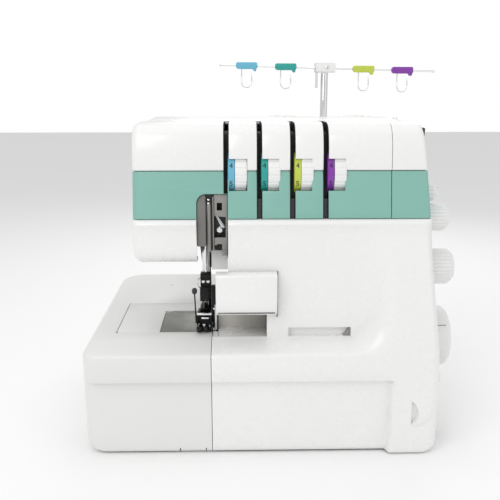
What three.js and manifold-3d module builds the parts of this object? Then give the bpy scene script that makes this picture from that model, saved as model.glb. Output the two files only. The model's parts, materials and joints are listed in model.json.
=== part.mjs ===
// Overlock (serger) machine, modelled as its separate pieces.
// Millimetres. X runs right, Y back and Z up; the front band's face lies at Y = 0.
import * as THREE from "three";
import { mergeVertices } from "three/addons/utils/BufferGeometryUtils.js";
import Module from "manifold-3d";

const wasm = await Module();
wasm.setup();

// ---- Driving dimensions ----
const bodyWidth = 320; // table's left end to the side cover
const bodyDepth = 246; // front band to the table's rear edge
const bedTop = 101.6; // sewing surface above the base pan's underside
const wall = 3; // moulded cover thickness
const gap = 0.5; // between neighbouring covers
const fit = 0.3; // round a shaft, and between pieces that touch
const seamX = -46.4; // between the table and the looper cover
const columnX = -30.8; // left face of the column
const bandHeight = 24.8; // proud band along the front
const bandDrop = 7.3; // from the sewing surface down to the band's top edge
const bandProud = 6; // band in front of the panel below it
const panThickness = 2.4; // base pan
const coverLow = -1.5; // front and side covers' lower edge, below the pan's underside
const armClearance = 69; // sewing surface to the arm's underside
const columnRise = 110.4; // sewing surface to the lip under the green band
const greenHeight = 41.3; // green band
const headRadius = 40.7; // height of the round from the green band up to the head's top
const headRoundDepth = 20; // of that round, front to back
const lipY = 30; // front of the lip
const greenLean = 10; // how far the green band leans back
const headFall = 1.5; // head's top, lower at its back than at the round
const headSplitY = 130; // joint between the front covers and the rear cover
const headRearY = 215; // back of the rear cover
const armLeftX = -116; // left end of the arm
const endSeamX = 115; // joint between the head's front covers and its right end
const headRightX = 148; // right end of the head
const footRightX = 115.7; // left edge of the column's foot, flush with the band
const shelfDepth = 22; // shelf in front of the column
const gripLeft = 24; // recess for the fingers above the shelf
const gripRight = 80.7;
const gripHeight = 8.6;
const thumbZ = 38; // crescent for the thumb on the column's foot
const sideWrapY = 42; // looper cover's wrap round the right side
const slotCount = 4; // thread slots, each with its tension dial
const firstSlotX = -31.6;
const slotPitch = 29.5;
const slotWidth = 4;
const dialWidth = 17.2;
const dialOverlap = 1.2; // of a dial into its slot
const dialRadius = 21;
const dialBore = 3;
const windowExtra = 8; // window height beyond a dial's radius
const needleX = -52.6; // needle bar
const needleY = 63.5;
const needleSpacing = 4.4;
const needleBarRadius = 3.2;
const needleLength = 37.7;
const presserSetback = 16.5; // presser bar behind the needle bar
const presserBarRadius = 3;
const lifterY = 112; // presser lifter's pivot
const lifterReach = 38;
const plateWidth = 48.5; // needle plate
const plateDepth = 61.6;
const plateThickness = 2;
const freeArmLeft = -136; // free arm inside the table
const freeArmFront = 43.4;
const shaftY = 90; // main shaft
const shaftZ = 79;
const shaftRadius = 5;
const pulleyRadius = 28;
const handwheelRadius = 30;
const handwheelWidth = 28;
const motorRadius = 28;
const motorLength = 60;
const motorPulleyRadius = 8;
const beltWidth = 8;
const beltThickness = 3;
const rockerY = 111; // arm shaft
const rockerRadius = 5;
const hingeRodRadius = 2; // looper cover's hinge rod
const hingeRodY = 13;
const hingeRodZ = 16;
const spoolStandZ = 150;
const spoolPinHeight = 137;
const spoolPinRadius = 3;
const spoolPinY = 252;
const spoolPitch = 43.8;
const antennaX = 76.6;
const antennaY = 228;
const antennaTop = 340;
const antennaTubeRadius = 6;
const antennaRodRadius = 4;
const antennaTravel = 75;
const guideBarLength = 240;
const guideBarRadius = 1.3;
const guideBarTilt = 0.028;
const lengthRadius = 17; // stitch length dial
const feedRadius = 13; // differential feed knob
const collarShare = 0.7; // a side knob's collar against its radius
const knobY = 68;
const switchY = 50.5;
const switchZ = 50;
const footRadius = 9;
const footHeight = 3;

// ---- Derived places ----
const left = -bodyWidth / 2 - 1;
const right = bodyWidth / 2;
const bandTop = bedTop - bandDrop;
const bandBottom = bandTop - bandHeight;
const armBottom = bedTop + armClearance;
const lipZ = bedTop + columnRise;
const greenTop = lipZ + greenHeight;
const greenTopY = lipY + greenLean;
const headTop = greenTop + headRadius;
const roundY = greenTopY + headRoundDepth;
const shoulderZ = bedTop - 20; // where the side starts to taper inwards
const shoulderX = headRightX + 4.4; // side at the lip
const presserY = needleY + presserSetback;
const slotXs = Array.from({ length: slotCount }, (_, i) => firstSlotX + i * slotPitch);
const dialY = greenTopY - 1.8 + dialRadius;
const dialZ = greenTop - 3.3;
const rockerZ = lipZ + 38;
const faceTop = dialZ - 15.4; // top of the opening in front of the needle bar
const plateRight = seamX - 0.6;
const motorY = headRearY - wall - 4 - motorRadius;
const motorZ = 45;
const beltX = right - 26;
const motorX = beltX - 44;
const armCastingRight = right - 56;
const lowerBossZ = armBottom + 11.4; // lower guide of the needle and presser bars
const castingFloor = panThickness + 0.6; // castings' underside
const plateTop = castingFloor + 7; // bed casting's plate
// The right side's place at a height, straight up and then tapering to the lip.
const sideAt = (z) => right - ((right - shoulderX) * Math.max(0, z - shoulderZ)) / (lipZ - shoulderZ);

// ---- Colours and surfaces ----
const paint = (color, roughness, metalness = 0) =>
  new THREE.MeshStandardMaterial({ color, roughness, metalness });
const white = () => paint(0xf1f1ef, 0.32);
const tableWhite = () => paint(0xe4e4e2, 0.36);
const green = () => paint(0x8ac0b2, 0.38);
const greyPlastic = () => paint(0x7d7b76, 0.42);
const knobGrey = () => paint(0xd8d8d8, 0.4);
const darkPlastic = () => paint(0x3c3c3c, 0.5);
const castMetal = () => paint(0xa9a9a6, 0.55, 0.8);
const steel = () => paint(0xc4c6c8, 0.25, 1);
const blackMetal = () => paint(0x242424, 0.4, 0.6);
const rubber = () => paint(0x1c1c1c, 0.85);
const spoolColours = [0x6cc8e8, 0x229e93, 0xbfd24f, 0x8338a8];

// ---- Shape helpers ----
const model = new THREE.Group();

function toSolid(geometry) {
  const bare = geometry.index ? geometry.toNonIndexed() : geometry.clone();
  bare.deleteAttribute("normal");
  bare.deleteAttribute("uv");
  const merged = mergeVertices(bare, 1e-4);
  const mesh = new wasm.Mesh({
    numProp: 3,
    vertProperties: merged.attributes.position.array,
    triVerts: new Uint32Array(merged.index.array),
  });
  return new wasm.Manifold(mesh);
}

function toGeometry(solid) {
  const mesh = solid.getMesh();
  const geometry = new THREE.BufferGeometry();
  geometry.setAttribute("position", new THREE.BufferAttribute(mesh.vertProperties, 3));
  geometry.setIndex(new THREE.BufferAttribute(mesh.triVerts, 1));
  geometry.computeVertexNormals();
  return geometry;
}

function add(name, solid, material, place = [0, 0, 0], parent = model) {
  const mesh = new THREE.Mesh(toGeometry(solid), material);
  mesh.name = name;
  mesh.position.set(...place);
  parent.add(mesh);
  return mesh;
}

const join = (first, ...others) => others.reduce((sum, next) => sum.add(next), first);
const cut = (first, ...others) => others.reduce((sum, next) => sum.subtract(next), first);

function box(x0, x1, y0, y1, z0, z1) {
  const geometry = new THREE.BoxGeometry(x1 - x0, y1 - y0, z1 - z0);
  geometry.translate((x0 + x1) / 2, (y0 + y1) / 2, (z0 + z1) / 2);
  return toSolid(geometry);
}

// A closed outline of [a, b] points; a third number rounds that corner.
function outline(points) {
  const shape = new THREE.Shape();
  const count = points.length;
  points.forEach(([a, b, radius = 0], i) => {
    const [pa, pb] = points[(i + count - 1) % count];
    const [na, nb] = points[(i + 1) % count];
    const back = radius / Math.hypot(pa - a, pb - b);
    const ahead = radius / Math.hypot(na - a, nb - b);
    const start = [a + (pa - a) * back, b + (pb - b) * back];
    if (i === 0) shape.moveTo(...start);
    else shape.lineTo(...start);
    if (radius > 0) shape.quadraticCurveTo(a, b, a + (na - a) * ahead, b + (nb - b) * ahead);
  });
  shape.closePath();
  return shape;
}

function extrude(shape, depth, curveSegments) {
  return new THREE.ExtrudeGeometry(shape, { depth, bevelEnabled: false, curveSegments });
}

// Outlines drawn in the YZ, XZ and XY planes, drawn out along the third axis.
function alongX(shape, x0, x1, segments = 5) {
  const geometry = extrude(shape, x1 - x0, segments);
  geometry.rotateY(Math.PI / 2);
  geometry.rotateX(Math.PI / 2);
  geometry.translate(x0, 0, 0);
  return toSolid(geometry);
}

function alongY(shape, y0, y1, segments = 5) {
  const geometry = extrude(shape, y1 - y0, segments);
  geometry.rotateX(Math.PI / 2);
  geometry.translate(0, y1, 0);
  return toSolid(geometry);
}

function alongZ(shape, z0, z1, segments = 5) {
  const geometry = extrude(shape, z1 - z0, segments);
  geometry.translate(0, 0, z0);
  return toSolid(geometry);
}

function turn(geometry, axis) {
  if (axis === "x") geometry.rotateZ(-Math.PI / 2);
  if (axis === "z") geometry.rotateX(Math.PI / 2);
  return geometry;
}

function rod(axis, radius, from, to, [a, b], sides = 20) {
  const geometry = turn(new THREE.CylinderGeometry(radius, radius, to - from, sides), axis);
  const middle = (from + to) / 2;
  if (axis === "x") geometry.translate(middle, a, b);
  if (axis === "y") geometry.translate(a, middle, b);
  if (axis === "z") geometry.translate(a, b, middle);
  return toSolid(geometry);
}

// A turned piece about its own axis; profile points are [radius, distance along the axis].
function turned(profile, axis, sides = 32) {
  const points = profile.map(([r, t]) => new THREE.Vector2(r, t));
  return toSolid(turn(new THREE.LatheGeometry(points, sides), axis));
}

const ring = (outer, inner, half, axis, sides) =>
  turned(
    [
      [inner, -half],
      [outer, -half],
      [outer, half],
      [inner, half],
      [inner, -half],
    ],
    axis,
    sides,
  );

// ---- Base ----
function basePan() {
  const top = panThickness;
  const under = box(left + 11, right - 8, 30, headRearY - 4, 0, top);
  const lip = box(left + 16, seamX - 4, bandProud + 4, bodyDepth - 12, 0, top);
  add("base_pan", join(under, lip), darkPlastic());
}

function feet() {
  const foot = turned(
    [
      [0, 0],
      [footRadius - 1, 0],
      [footRadius, 1],
      [footRadius, footHeight],
      [0, footHeight],
    ],
    "z",
    20,
  ).rotate([180, 0, 0]);
  const places = {
    foot_front_left: [left + 30, 44],
    foot_front_right: [right - 28, 44],
    foot_rear_left: [left + 30, bodyDepth - 26],
    foot_rear_right: [right - 28, headRearY - 24],
  };
  for (const [name, [x, y]] of Object.entries(places)) add(name, foot, rubber(), [x, y, -fit]);
}

function bedCasting() {
  const plate = box(columnX + 4.5, right - 10, 34, headRearY - 8, castingFloor, plateTop);
  const saddle = box(motorX - 22, motorX + 22, motorY - 14, motorY + 14, plateTop - 1, motorZ - motorRadius + 6);
  const motorSeat = rod("x", motorRadius + fit, motorX - 40, motorX + 40, [motorY, motorZ], 28);
  const beam = box(freeArmLeft + 6, columnX + 12, needleY - 1.5, 118, shaftZ - 29, shaftZ - 9);
  const pedestals = [
    [columnX, columnX + 12],
    [beltX - 26, beltX - 14],
  ].map(([x0, x1]) => box(x0, x1, shaftY - 13, shaftY + 13, plateTop - 2, shaftZ + 11));
  const bore = rod("x", shaftRadius + fit, -200, 200, [shaftY, shaftZ]);
  const lugTop = hingeRodZ + 8;
  const lugStarts = [columnX + 1.8, right - 68];
  const lugs = lugStarts.map((x) => box(x, x + 8, hingeRodY - 2.4, 40, hingeRodZ - 2.6, lugTop));
  const stands = lugStarts.map((x) => box(x, x + 8, 36, 44, plateTop - 2, lugTop));
  const rodBore = rod("x", hingeRodRadius + fit, -200, 200, [hingeRodY, hingeRodZ], 12);
  const solid = join(plate, saddle, beam, ...pedestals, ...lugs, ...stands);
  add("bed_casting", cut(solid, bore, rodBore, motorSeat), castMetal());
}

function columnCasting() {
  const post = box(right - 100, right - 64, shaftY - 16, headSplitY, plateTop + fit, rockerZ - 26);
  const bore = rod("x", shaftRadius + 2, 0, 200, [shaftY, shaftZ]);
  add("column_casting", cut(post, bore), castMetal());
}

function armCasting() {
  const low = rockerZ - 25.5;
  const beam = box(columnX - 7, armCastingRight, 92, headSplitY - 2, low, rockerZ + 16);
  const lowerBoss = box(needleX - 7.4, columnX - 7.2, needleY - 8, headSplitY - 2, lowerBossZ, lowerBossZ + 16);
  const upperBoss = box(needleX - 5, columnX - 7.2, needleY - 8, 94, rockerZ - 18, rockerZ - 8);
  const web = box(columnX - 14, columnX - 6, presserY + 4, headSplitY - 2, lowerBossZ, rockerZ + 16);
  const axleEnd = slotXs[slotCount - 1] + 31;
  const axle = rod("x", dialBore, firstSlotX - 2, axleEnd, [dialY, dialZ], 16);
  const arms = [firstSlotX - 3.4, axleEnd - 4].map((x) =>
    box(x, x + 4, dialY - 4, 93, dialZ - 4, dialZ + 4),
  );
  const bores = [
    rod("x", rockerRadius + fit, -200, 200, [rockerY, rockerZ]),
    rod("z", needleBarRadius + fit, 100, 290, [needleX, needleY]),
    rod("z", presserBarRadius + fit, 100, 290, [needleX, presserY]),
  ];
  add("arm_casting", cut(join(beam, lowerBoss, upperBoss, web, axle, ...arms), ...bores), castMetal());
}

// ---- Covers round the bed ----
// The front edge of the table and shelf, rolled over from the sewing surface to the band.
function frontRoll(x0, x1) {
  const roll = new THREE.Shape();
  roll.moveTo(-5, bandTop);
  roll.lineTo(0, bandTop);
  roll.quadraticCurveTo(4, bedTop - 1.2, 29, bedTop);
  roll.lineTo(29, bedTop + 5);
  roll.lineTo(-5, bedTop + 5);
  roll.closePath();
  return alongX(roll, x0, x1, 6);
}

function extensionTable() {
  const x1 = seamX - gap / 2;
  const shell = (inset, z0, z1, extra) =>
    alongZ(
      outline([
        [left + inset, inset, 14],
        [x1 + extra, inset],
        [x1 + extra, bodyDepth - inset],
        [left + inset, bodyDepth - inset, 25],
      ]),
      z0,
      z1,
    );
  const upper = cut(shell(0, bandBottom, bedTop, 0), frontRoll(left - 1, x1 + 1));
  const lower = shell(bandProud / 2, coverLow, bandBottom + 1, 0).intersect(
    box(left, x1, bandProud, bodyDepth, 0, bedTop),
  );
  const hollowUpper = shell(wall, bandBottom + wall, bedTop - wall - bandDrop / 2, 10);
  const hollowLower = shell(bandProud / 2 + wall, coverLow - 3, bandBottom + wall + 1, 10).intersect(
    box(left, x1 + 10, bandProud + wall, bodyDepth, -5, bedTop),
  );
  const freeArm = box(freeArmLeft - gap, x1 + 10, freeArmFront - gap, headSplitY + 1, bandBottom, bedTop + 1);
  add("extension_table", cut(join(upper, lower), hollowUpper, hollowLower, freeArm), tableWhite());
}

function bedCover() {
  const low = 60;
  const y1 = headSplitY + 0.4;
  const arm = box(freeArmLeft, seamX - gap, freeArmFront + gap, y1, low, bedTop);
  const armHollow = box(
    freeArmLeft + wall,
    seamX + 10,
    freeArmFront + gap + wall,
    y1 - wall,
    low - 1,
    bedTop - wall,
  );
  const strip = box(seamX - 1, columnX - gap, 78, y1, bedTop - wall, bedTop);
  const rearStrip = box(seamX + gap / 2, columnX - gap, y1 - 1, headRearY - 1, bedTop - wall, bedTop);
  const seat = box(
    plateRight - plateWidth - gap,
    seamX + 1,
    freeArmFront - 1,
    freeArmFront + plateDepth + gap,
    bedTop - plateThickness - fit,
    bedTop + 1,
  );
  const throat = box(needleX - 12, seamX + 1, freeArmFront + gap + wall, 96, bedTop - 10, bedTop);
  add("bed_cover", cut(join(cut(arm, armHollow), strip, rearStrip), seat, throat), tableWhite());
}

function needlePlate() {
  const x0 = plateRight - plateWidth;
  const plate = alongZ(
    outline([
      [x0, freeArmFront],
      [plateRight, freeArmFront],
      [plateRight, freeArmFront + plateDepth],
      [x0 + 8, freeArmFront + plateDepth],
      [x0, freeArmFront + plateDepth - 8],
    ]),
    bedTop - plateThickness,
    bedTop,
  );
  const slots = [
    box(needleX - 9, needleX - 4.8, 50, 91, 90, 110),
    box(needleX - 0.4, needleX + 4, 70, 93, 90, 110),
    box(needleX - 4, needleX + 4, needleY - 2.5, needleY + 2.5, 90, 110),
  ];
  add("needle_plate", cut(plate, ...slots), paint(0x878780, 0.35, 0.9));
}

// ---- Looper cover: front of the base and of the column, in one moulding ----
function looperCover() {
  const x0 = seamX + gap / 2;
  const top = lipZ - gap;
  const skin = (inset, y1) => {
    const shape = new THREE.Shape();
    shape.moveTo(bandProud + inset, coverLow - inset);
    shape.lineTo(bandProud + inset, bandBottom + (inset ? inset : 0));
    shape.lineTo(inset, bandBottom + inset);
    shape.lineTo(inset, bandTop - inset);
    shape.quadraticCurveTo(inset + 4, bedTop - inset - 1.2, shelfDepth + inset, bedTop - inset);
    shape.lineTo(shelfDepth + inset + 2, bedTop + 6);
    shape.lineTo(lipY + inset, top + inset);
    shape.lineTo(y1, top + inset);
    shape.lineTo(y1, coverLow - inset);
    shape.closePath();
    return shape;
  };
  const foot = (inset, y1) => {
    const shape = new THREE.Shape();
    shape.moveTo(inset, coverLow - inset);
    shape.lineTo(inset, bandTop);
    shape.bezierCurveTo(inset + 3, bandTop + 45, lipY - 8 + inset, top - 60, lipY + inset, top + inset);
    shape.lineTo(y1, top + inset);
    shape.lineTo(y1, coverLow - inset);
    shape.closePath();
    return shape;
  };
  const silhouette = alongY(
    outline([
      [x0, coverLow],
      [right, coverLow, 8],
      [right, shoulderZ, 30],
      [shoulderX, top],
      [columnX, top],
      [columnX, bedTop],
      [x0, bedTop],
    ]),
    -20,
    80,
  );
  const inside = alongY(
    outline([
      [x0 - 10, coverLow - wall - 5],
      [right - wall, coverLow - wall - 5],
      [right - wall, shoulderZ - 1, 30],
      [shoulderX - wall, top + 10],
      [x0 - 10, top + 10],
    ]),
    -20,
    90,
  );
  const solid = join(
    alongX(skin(0, sideWrapY), x0, footRightX + 1),
    alongX(foot(0, sideWrapY), footRightX, right, 8),
  );
  const hollow = join(
    alongX(skin(wall, sideWrapY + 10), x0 - 10, footRightX + wall),
    alongX(foot(wall, sideWrapY + 10), footRightX + wall - 0.5, right, 8),
  ).intersect(inside);
  const sweep = alongZ(
    outline([
      [gripRight, shelfDepth + 3],
      [footRightX + 1, 0],
      [footRightX + 1, wall + 2],
      [gripRight + 6, shelfDepth + 3],
    ]),
    bandTop - 2,
    lipZ - 30,
  ).intersect(alongX(foot(0, sideWrapY), 0, footRightX + 2, 8));
  const chipFloor = box(seamX + 5.4, 14, shelfDepth, 58, bedTop - wall, bedTop);
  const chipRear = box(columnX + 4, 6, 58, 60, bedTop - wall, bedTop + 23);
  const chipSide = box(4, 6, shelfDepth + 4, 60, bedTop - wall, bedTop + 23);
  const chipMouth = box(seamX - 1, 4, shelfDepth - 2, 57.9, bedTop, bedTop + 19.8);
  const gripBlock = box(gripLeft - 2, gripRight + 2.3, shelfDepth + 3, 38, bedTop - wall, bedTop + gripHeight + 3.4);
  const grip = box(gripLeft, gripRight, shelfDepth - 2, 35.5, bedTop, bedTop + gripHeight);
  const knuckles = [columnX + 18.8, footRightX - 3.7].map((x) =>
    box(x, x + 10, bandProud + 1, hingeRodY + 4, hingeRodZ - 4, hingeRodZ + 4),
  );
  const bore = rod("x", hingeRodRadius + fit, -200, right - 10, [hingeRodY, hingeRodZ], 12);
  const crescent = alongX(
    outline([
      [1, thumbZ - 14],
      [-2.6, thumbZ - 8],
      [-2.6, thumbZ + 8],
      [1, thumbZ + 14],
    ]),
    right - 26,
    right - 8,
  );
  const sideGrip = alongY(
    outline([
      [right - 1, 61],
      [right + 2.6, 64],
      [right + 2.6, 72],
      [right - 1, 75],
    ]),
    9,
    23,
  );
  // The wrap's lower back corner is cut off, so that it clears the side cover as the cover swings.
  const swing = sideWrapY - hingeRodY;
  const cornerLow = coverLow - 1;
  const cornerY = hingeRodY + Math.sqrt(swing ** 2 - (hingeRodZ - cornerLow) ** 2) - fit;
  const corner = alongX(
    outline([
      [cornerY, cornerLow],
      [sideWrapY + 5, cornerLow],
      [sideWrapY + 5, hingeRodZ + 2],
      [sideWrapY, hingeRodZ + 2],
    ]),
    right - 10,
    right + 1,
  );
  let cover = cut(solid.intersect(silhouette), hollow, corner);
  cover = join(cover, sideGrip, sweep, chipFloor, chipRear, chipSide, gripBlock, ...knuckles, crescent);
  cover = cut(cover, chipMouth, grip, bore);
  add("looper_cover", cover, white());
}

function knifeGuard() {
  const low = bedTop + 19.8;
  const high = low + 43;
  const guard = new THREE.Shape();
  guard.moveTo(26.6, high);
  guard.lineTo(18, high - 0.6);
  guard.quadraticCurveTo(14, high - 1.5, 14, high - 8);
  guard.lineTo(14, low + 13);
  guard.quadraticCurveTo(14.5, low + 1, 24.2, low);
  guard.closePath();
  const x0 = seamX + 4.4;
  const hollow = box(x0 + 2, 11.9, 16.5, 40, low + 3, high - 2);
  add("knife_guard", cut(alongX(guard, x0, 13.9, 6), hollow), white());
}

function hingeRod() {
  const half = (right - 16 - columnX) / 2;
  const solid = rod("x", hingeRodRadius, -half, half, [0, 0], 12);
  add("cover_hinge_rod", solid, steel(), [columnX + half, hingeRodY, hingeRodZ]);
}

// ---- Covers round the arm and the column ----
// The head's outer skin in section, from the lip over the round to the top.
function headSkin(fromZ, toY) {
  const startY = (z) => lipY + (greenLean * (z - lipZ)) / greenHeight;
  const shape = new THREE.Shape();
  if (fromZ < greenTop) {
    shape.moveTo(startY(fromZ), fromZ);
    shape.lineTo(greenTopY, greenTop - gap / 2);
    shape.lineTo(greenTopY + wall, greenTop - gap / 2);
    shape.lineTo(startY(fromZ) + wall, fromZ);
    shape.closePath();
    return shape;
  }
  const z = greenTop + gap / 2;
  const round = headRoundDepth;
  shape.moveTo(greenTopY, z);
  shape.quadraticCurveTo(greenTopY + round * 0.1, headTop - 14, greenTopY + round * 0.4, headTop - 5);
  shape.quadraticCurveTo(greenTopY + round * 0.6, headTop, roundY, headTop);
  shape.lineTo(toY, headTop - headFall);
  shape.lineTo(toY, headTop - headFall - wall);
  shape.lineTo(roundY + 1, headTop - wall);
  shape.quadraticCurveTo(greenTopY + round * 0.6 + 2, headTop - wall, greenTopY + round * 0.4 + 2.5, headTop - 7);
  shape.quadraticCurveTo(greenTopY + round * 0.1 + wall, headTop - 15, greenTopY + wall, z);
  shape.closePath();
  return shape;
}

// The same section filled in, for the head's ends.
function headEnd(fromZ, toY) {
  const z = fromZ + gap / 2;
  const shape = new THREE.Shape();
  const round = headRoundDepth;
  shape.moveTo(greenTopY, z);
  shape.quadraticCurveTo(greenTopY + round * 0.1, headTop - 14, greenTopY + round * 0.4, headTop - 5);
  shape.quadraticCurveTo(greenTopY + round * 0.6, headTop, roundY, headTop);
  shape.lineTo(toY, headTop - headFall);
  shape.lineTo(toY, z);
  shape.closePath();
  return shape;
}

const headSlots = () =>
  slotXs.map((x) =>
    box(x - slotWidth / 2, x + slotWidth / 2, 20, 100, lipZ + 2.5, headTop + 5),
  );

const dialWindows = () =>
  slotXs.map((x) => {
    const x0 = x + slotWidth / 2 - 0.1;
    const windowHeight = dialRadius + windowExtra;
    const low = dialZ + 0.5 - windowHeight / 2;
    return box(x0, x0 + dialWidth - dialOverlap + 3 * fit, 20, greenTopY + 20, low, low + windowHeight);
  });

function upperFrontCover() {
  const y1 = headSplitY;
  const skin = alongX(headSkin(greenTop, y1), armLeftX, endSeamX - gap / 2, 5);
  const end = alongX(headEnd(greenTop, y1), armLeftX, armLeftX + wall);
  add("upper_front_cover", cut(join(skin, end), ...headSlots(), ...dialWindows()), white());
}

function greenBands() {
  const recess = box(needleX - 6.6, columnX + 1, 20, 60, lipZ - 5, faceTop + 0.7);
  const firstCut = firstSlotX - slotWidth / 2;
  const leftSkin = alongX(headSkin(lipZ, 0), armLeftX, firstCut);
  const leftEnd = box(armLeftX, armLeftX + wall, lipY + 4, headSplitY, lipZ, greenTop - gap / 2);
  add("green_band_left", cut(join(leftSkin, leftEnd), recess), green());
  const middle = alongX(headSkin(lipZ, 0), firstSlotX + slotWidth / 2, endSeamX - gap / 2);
  add("green_band_middle", cut(middle, ...headSlots().slice(1), ...dialWindows()), green());
}

function rightEndCover() {
  const x0 = endSeamX + gap / 2;
  const band = alongX(headSkin(lipZ, 0), x0, headRightX);
  const upper = alongX(headSkin(greenTop, headSplitY), x0, headRightX);
  const bridge = box(x0, headRightX, greenTopY, greenTopY + wall, greenTop - 3, greenTop + 3);
  const upperEnd = alongX(headEnd(greenTop, headSplitY), headRightX - wall, headRightX);
  const bandEnd = box(headRightX - wall, headRightX, greenTopY, headSplitY, lipZ, greenTop + 1);
  add("right_end_cover", join(band, upper, bridge, upperEnd, bandEnd), white());
}

function armLowerCover() {
  const y1 = headSplitY;
  const top = lipZ - gap;
  const section = (inset, high) =>
    alongX(
      outline([
        [lipY + inset, high],
        [lipY + 2 + inset, armBottom + inset, 8],
        [y1 + inset, armBottom + inset],
        [y1 + inset, high],
      ]),
      armLeftX + inset,
      columnX - gap,
    );
  const shell = cut(section(0, top), section(wall, top + 5));
  const recess = box(needleX - 6.4, columnX + 1, 20, 56, armBottom - 5, lipZ + 5);
  const mouth = box(needleX - 10, needleX + 10, 50, lifterY + 15.4, armBottom - 5, armBottom + 5);
  add("arm_lower_cover", cut(shell, recess, mouth), white());
}

// Outline of the body seen from the front, for the rear cover and the side cover.
function rearOutline(inset) {
  return outline([
    [armLeftX + inset, armBottom + gap + inset, 6],
    [columnX + gap + inset, armBottom + gap + inset],
    [columnX + gap + inset, plateTop - 2 - inset * 3],
    [columnX + 8.8, plateTop - 2 - inset * 3],
    [columnX + 8.8, coverLow - inset * 3],
    [right - inset, coverLow - inset * 3],
    [right - inset, shoulderZ, 30],
    [shoulderX - inset, lipZ],
    [headRightX - inset, headTop - headFall - inset, 10],
    [armLeftX + inset, headTop - headFall - inset, 6],
  ]);
}

function rearCover() {
  const y0 = headSplitY + gap;
  const outer = alongY(rearOutline(0), y0, headRearY);
  const inner = alongY(rearOutline(wall), y0 - 5, headRearY - wall);
  const cleared = box(right - 9, right + 5, y0 + 18, y0 + 44, 22, 44);
  add("rear_cover", cut(outer, inner, cleared), white());
}

function sideCover() {
  const y0 = sideWrapY + gap;
  const plate = (inset) =>
    outline([
      [right - wall, coverLow],
      [right, coverLow],
      [right, shoulderZ, 30],
      [shoulderX, lipZ - gap],
      [shoulderX - wall, lipZ - gap],
      [right - wall, shoulderZ - inset, 30],
    ]);
  const shell = alongY(plate(1), y0, headSplitY);
  const bore = rod("x", shaftRadius + 2, 100, 200, [shaftY, shaftZ]);
  const switchHole = box(right - wall - 1, right + 1, switchY - 7, switchY + 7, switchZ - 10.5, switchZ + 10.5);
  add("side_cover", cut(shell, bore, switchHole), white());
}

function columnInnerCover() {
  const panel = box(columnX - fit, columnX + wall - fit, 34.5, headSplitY, bedTop + gap, armBottom - gap);
  const chipWay = box(columnX - 5, columnX + 5, 30, 62, bedTop, bedTop + 22);
  add("column_inner_cover", cut(panel, chipWay), white());
}

function sidePanel() {
  const x0 = headRightX + fit;
  const wedge = outline([
    [x0, lipZ + 30],
    [x0 + 3.6, lipZ + 30],
    [x0 + 6, headTop - 6],
    [x0, headTop - 5],
  ]);
  add("side_panel", alongY(wedge, roundY + 22, headSplitY - 8), darkPlastic());
}

// ---- Face of the needle head ----
function faceParts() {
  const x0 = needleX - 5.9;
  const split = needleX + 7.6;
  const faceLow = armBottom + 19.4;
  const takeup = new THREE.Shape();
  takeup.moveTo(42, faceLow);
  takeup.lineTo(33, faceLow + 2);
  takeup.quadraticCurveTo(31, lipZ, 36, faceTop);
  takeup.lineTo(45, faceTop);
  takeup.lineTo(45, faceLow);
  takeup.closePath();
  const hollow = box(x0 + 2, split + 1, 38, 50, faceLow - 10, faceTop - 3);
  add("takeup_cover", cut(alongX(takeup, x0, split), hollow), greyPlastic());
  const plate = box(split + fit, columnX - 0.6, 38, 41, armBottom + 3.5, faceTop);
  const holes = [
    box(split + 3, split + 8, 30, 50, lipZ + 6, lipZ + 12),
    box(split + 2, split + 9, 30, 50, faceLow - 6, faceLow + 8),
  ];
  add("face_plate", cut(plate, ...holes), castMetal());
}

// ---- Drive ----
function drive() {
  const axis = [shaftY, shaftZ];
  const shaftStart = columnX - 8;
  const shaftEnd = right + handwheelWidth + 3;
  const shaft = rod("x", shaftRadius, shaftStart, shaftEnd, [0, 0]);
  const rim = 2.2;
  const pulley = cut(
    rod("x", pulleyRadius + rim, beltX - 6, beltX + 6, [0, 0], 36),
    ring(pulleyRadius + rim + 5, pulleyRadius, beltWidth / 2 + fit, "x", 36).translate([beltX, 0, 0]),
  );
  add("main_shaft", join(shaft, pulley), steel(), [0, ...axis]);

  const h = handwheelWidth;
  const handwheel = turned(
    [
      [shaftRadius + fit, 0],
      [handwheelRadius - 5, 0],
      [handwheelRadius, 4],
      [handwheelRadius, h - 9],
      [handwheelRadius - 3, h - 4],
      [handwheelRadius - 9, h],
      [shaftRadius + fit, h],
      [shaftRadius + fit, 0],
    ],
    "x",
    40,
  );
  add("handwheel", handwheel, knobGrey(), [right + fit + 2.7, ...axis]);

  const motor = rod("x", motorRadius, -motorLength / 2, motorLength / 2, [0, 0], 28);
  add("motor", motor, paint(0x6f7274, 0.5, 0.7), [motorX, motorY, motorZ]);

  const small = cut(
    join(
      rod("x", motorPulleyRadius + rim, -6, 6, [0, 0], 20),
      rod("x", 3, -(beltX - motorX - motorLength / 2 - fit), 8, [0, 0], 12),
    ),
    ring(motorPulleyRadius + rim + 5, motorPulleyRadius, beltWidth / 2 + fit, "x", 20),
  );
  add("motor_pulley", small, steel(), [beltX, motorY, motorZ]);

  const loop = (extra) => {
    const span = [motorY - shaftY, motorZ - shaftZ];
    const heading = Math.atan2(span[1], span[0]);
    const big = pulleyRadius + extra;
    const little = motorPulleyRadius + extra;
    const lean = Math.acos((big - little) / Math.hypot(...span));
    const shape = new THREE.Shape();
    shape.absarc(0, 0, big, heading + lean, heading - lean + 2 * Math.PI, false);
    shape.absarc(span[0], span[1], little, heading - lean, heading + lean, false);
    shape.closePath();
    return alongX(shape, -beltWidth / 2, beltWidth / 2, 14);
  };
  const belt = cut(loop(fit + beltThickness), loop(fit));
  add("drive_belt", belt, rubber(), [beltX, ...axis]);
}

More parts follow.
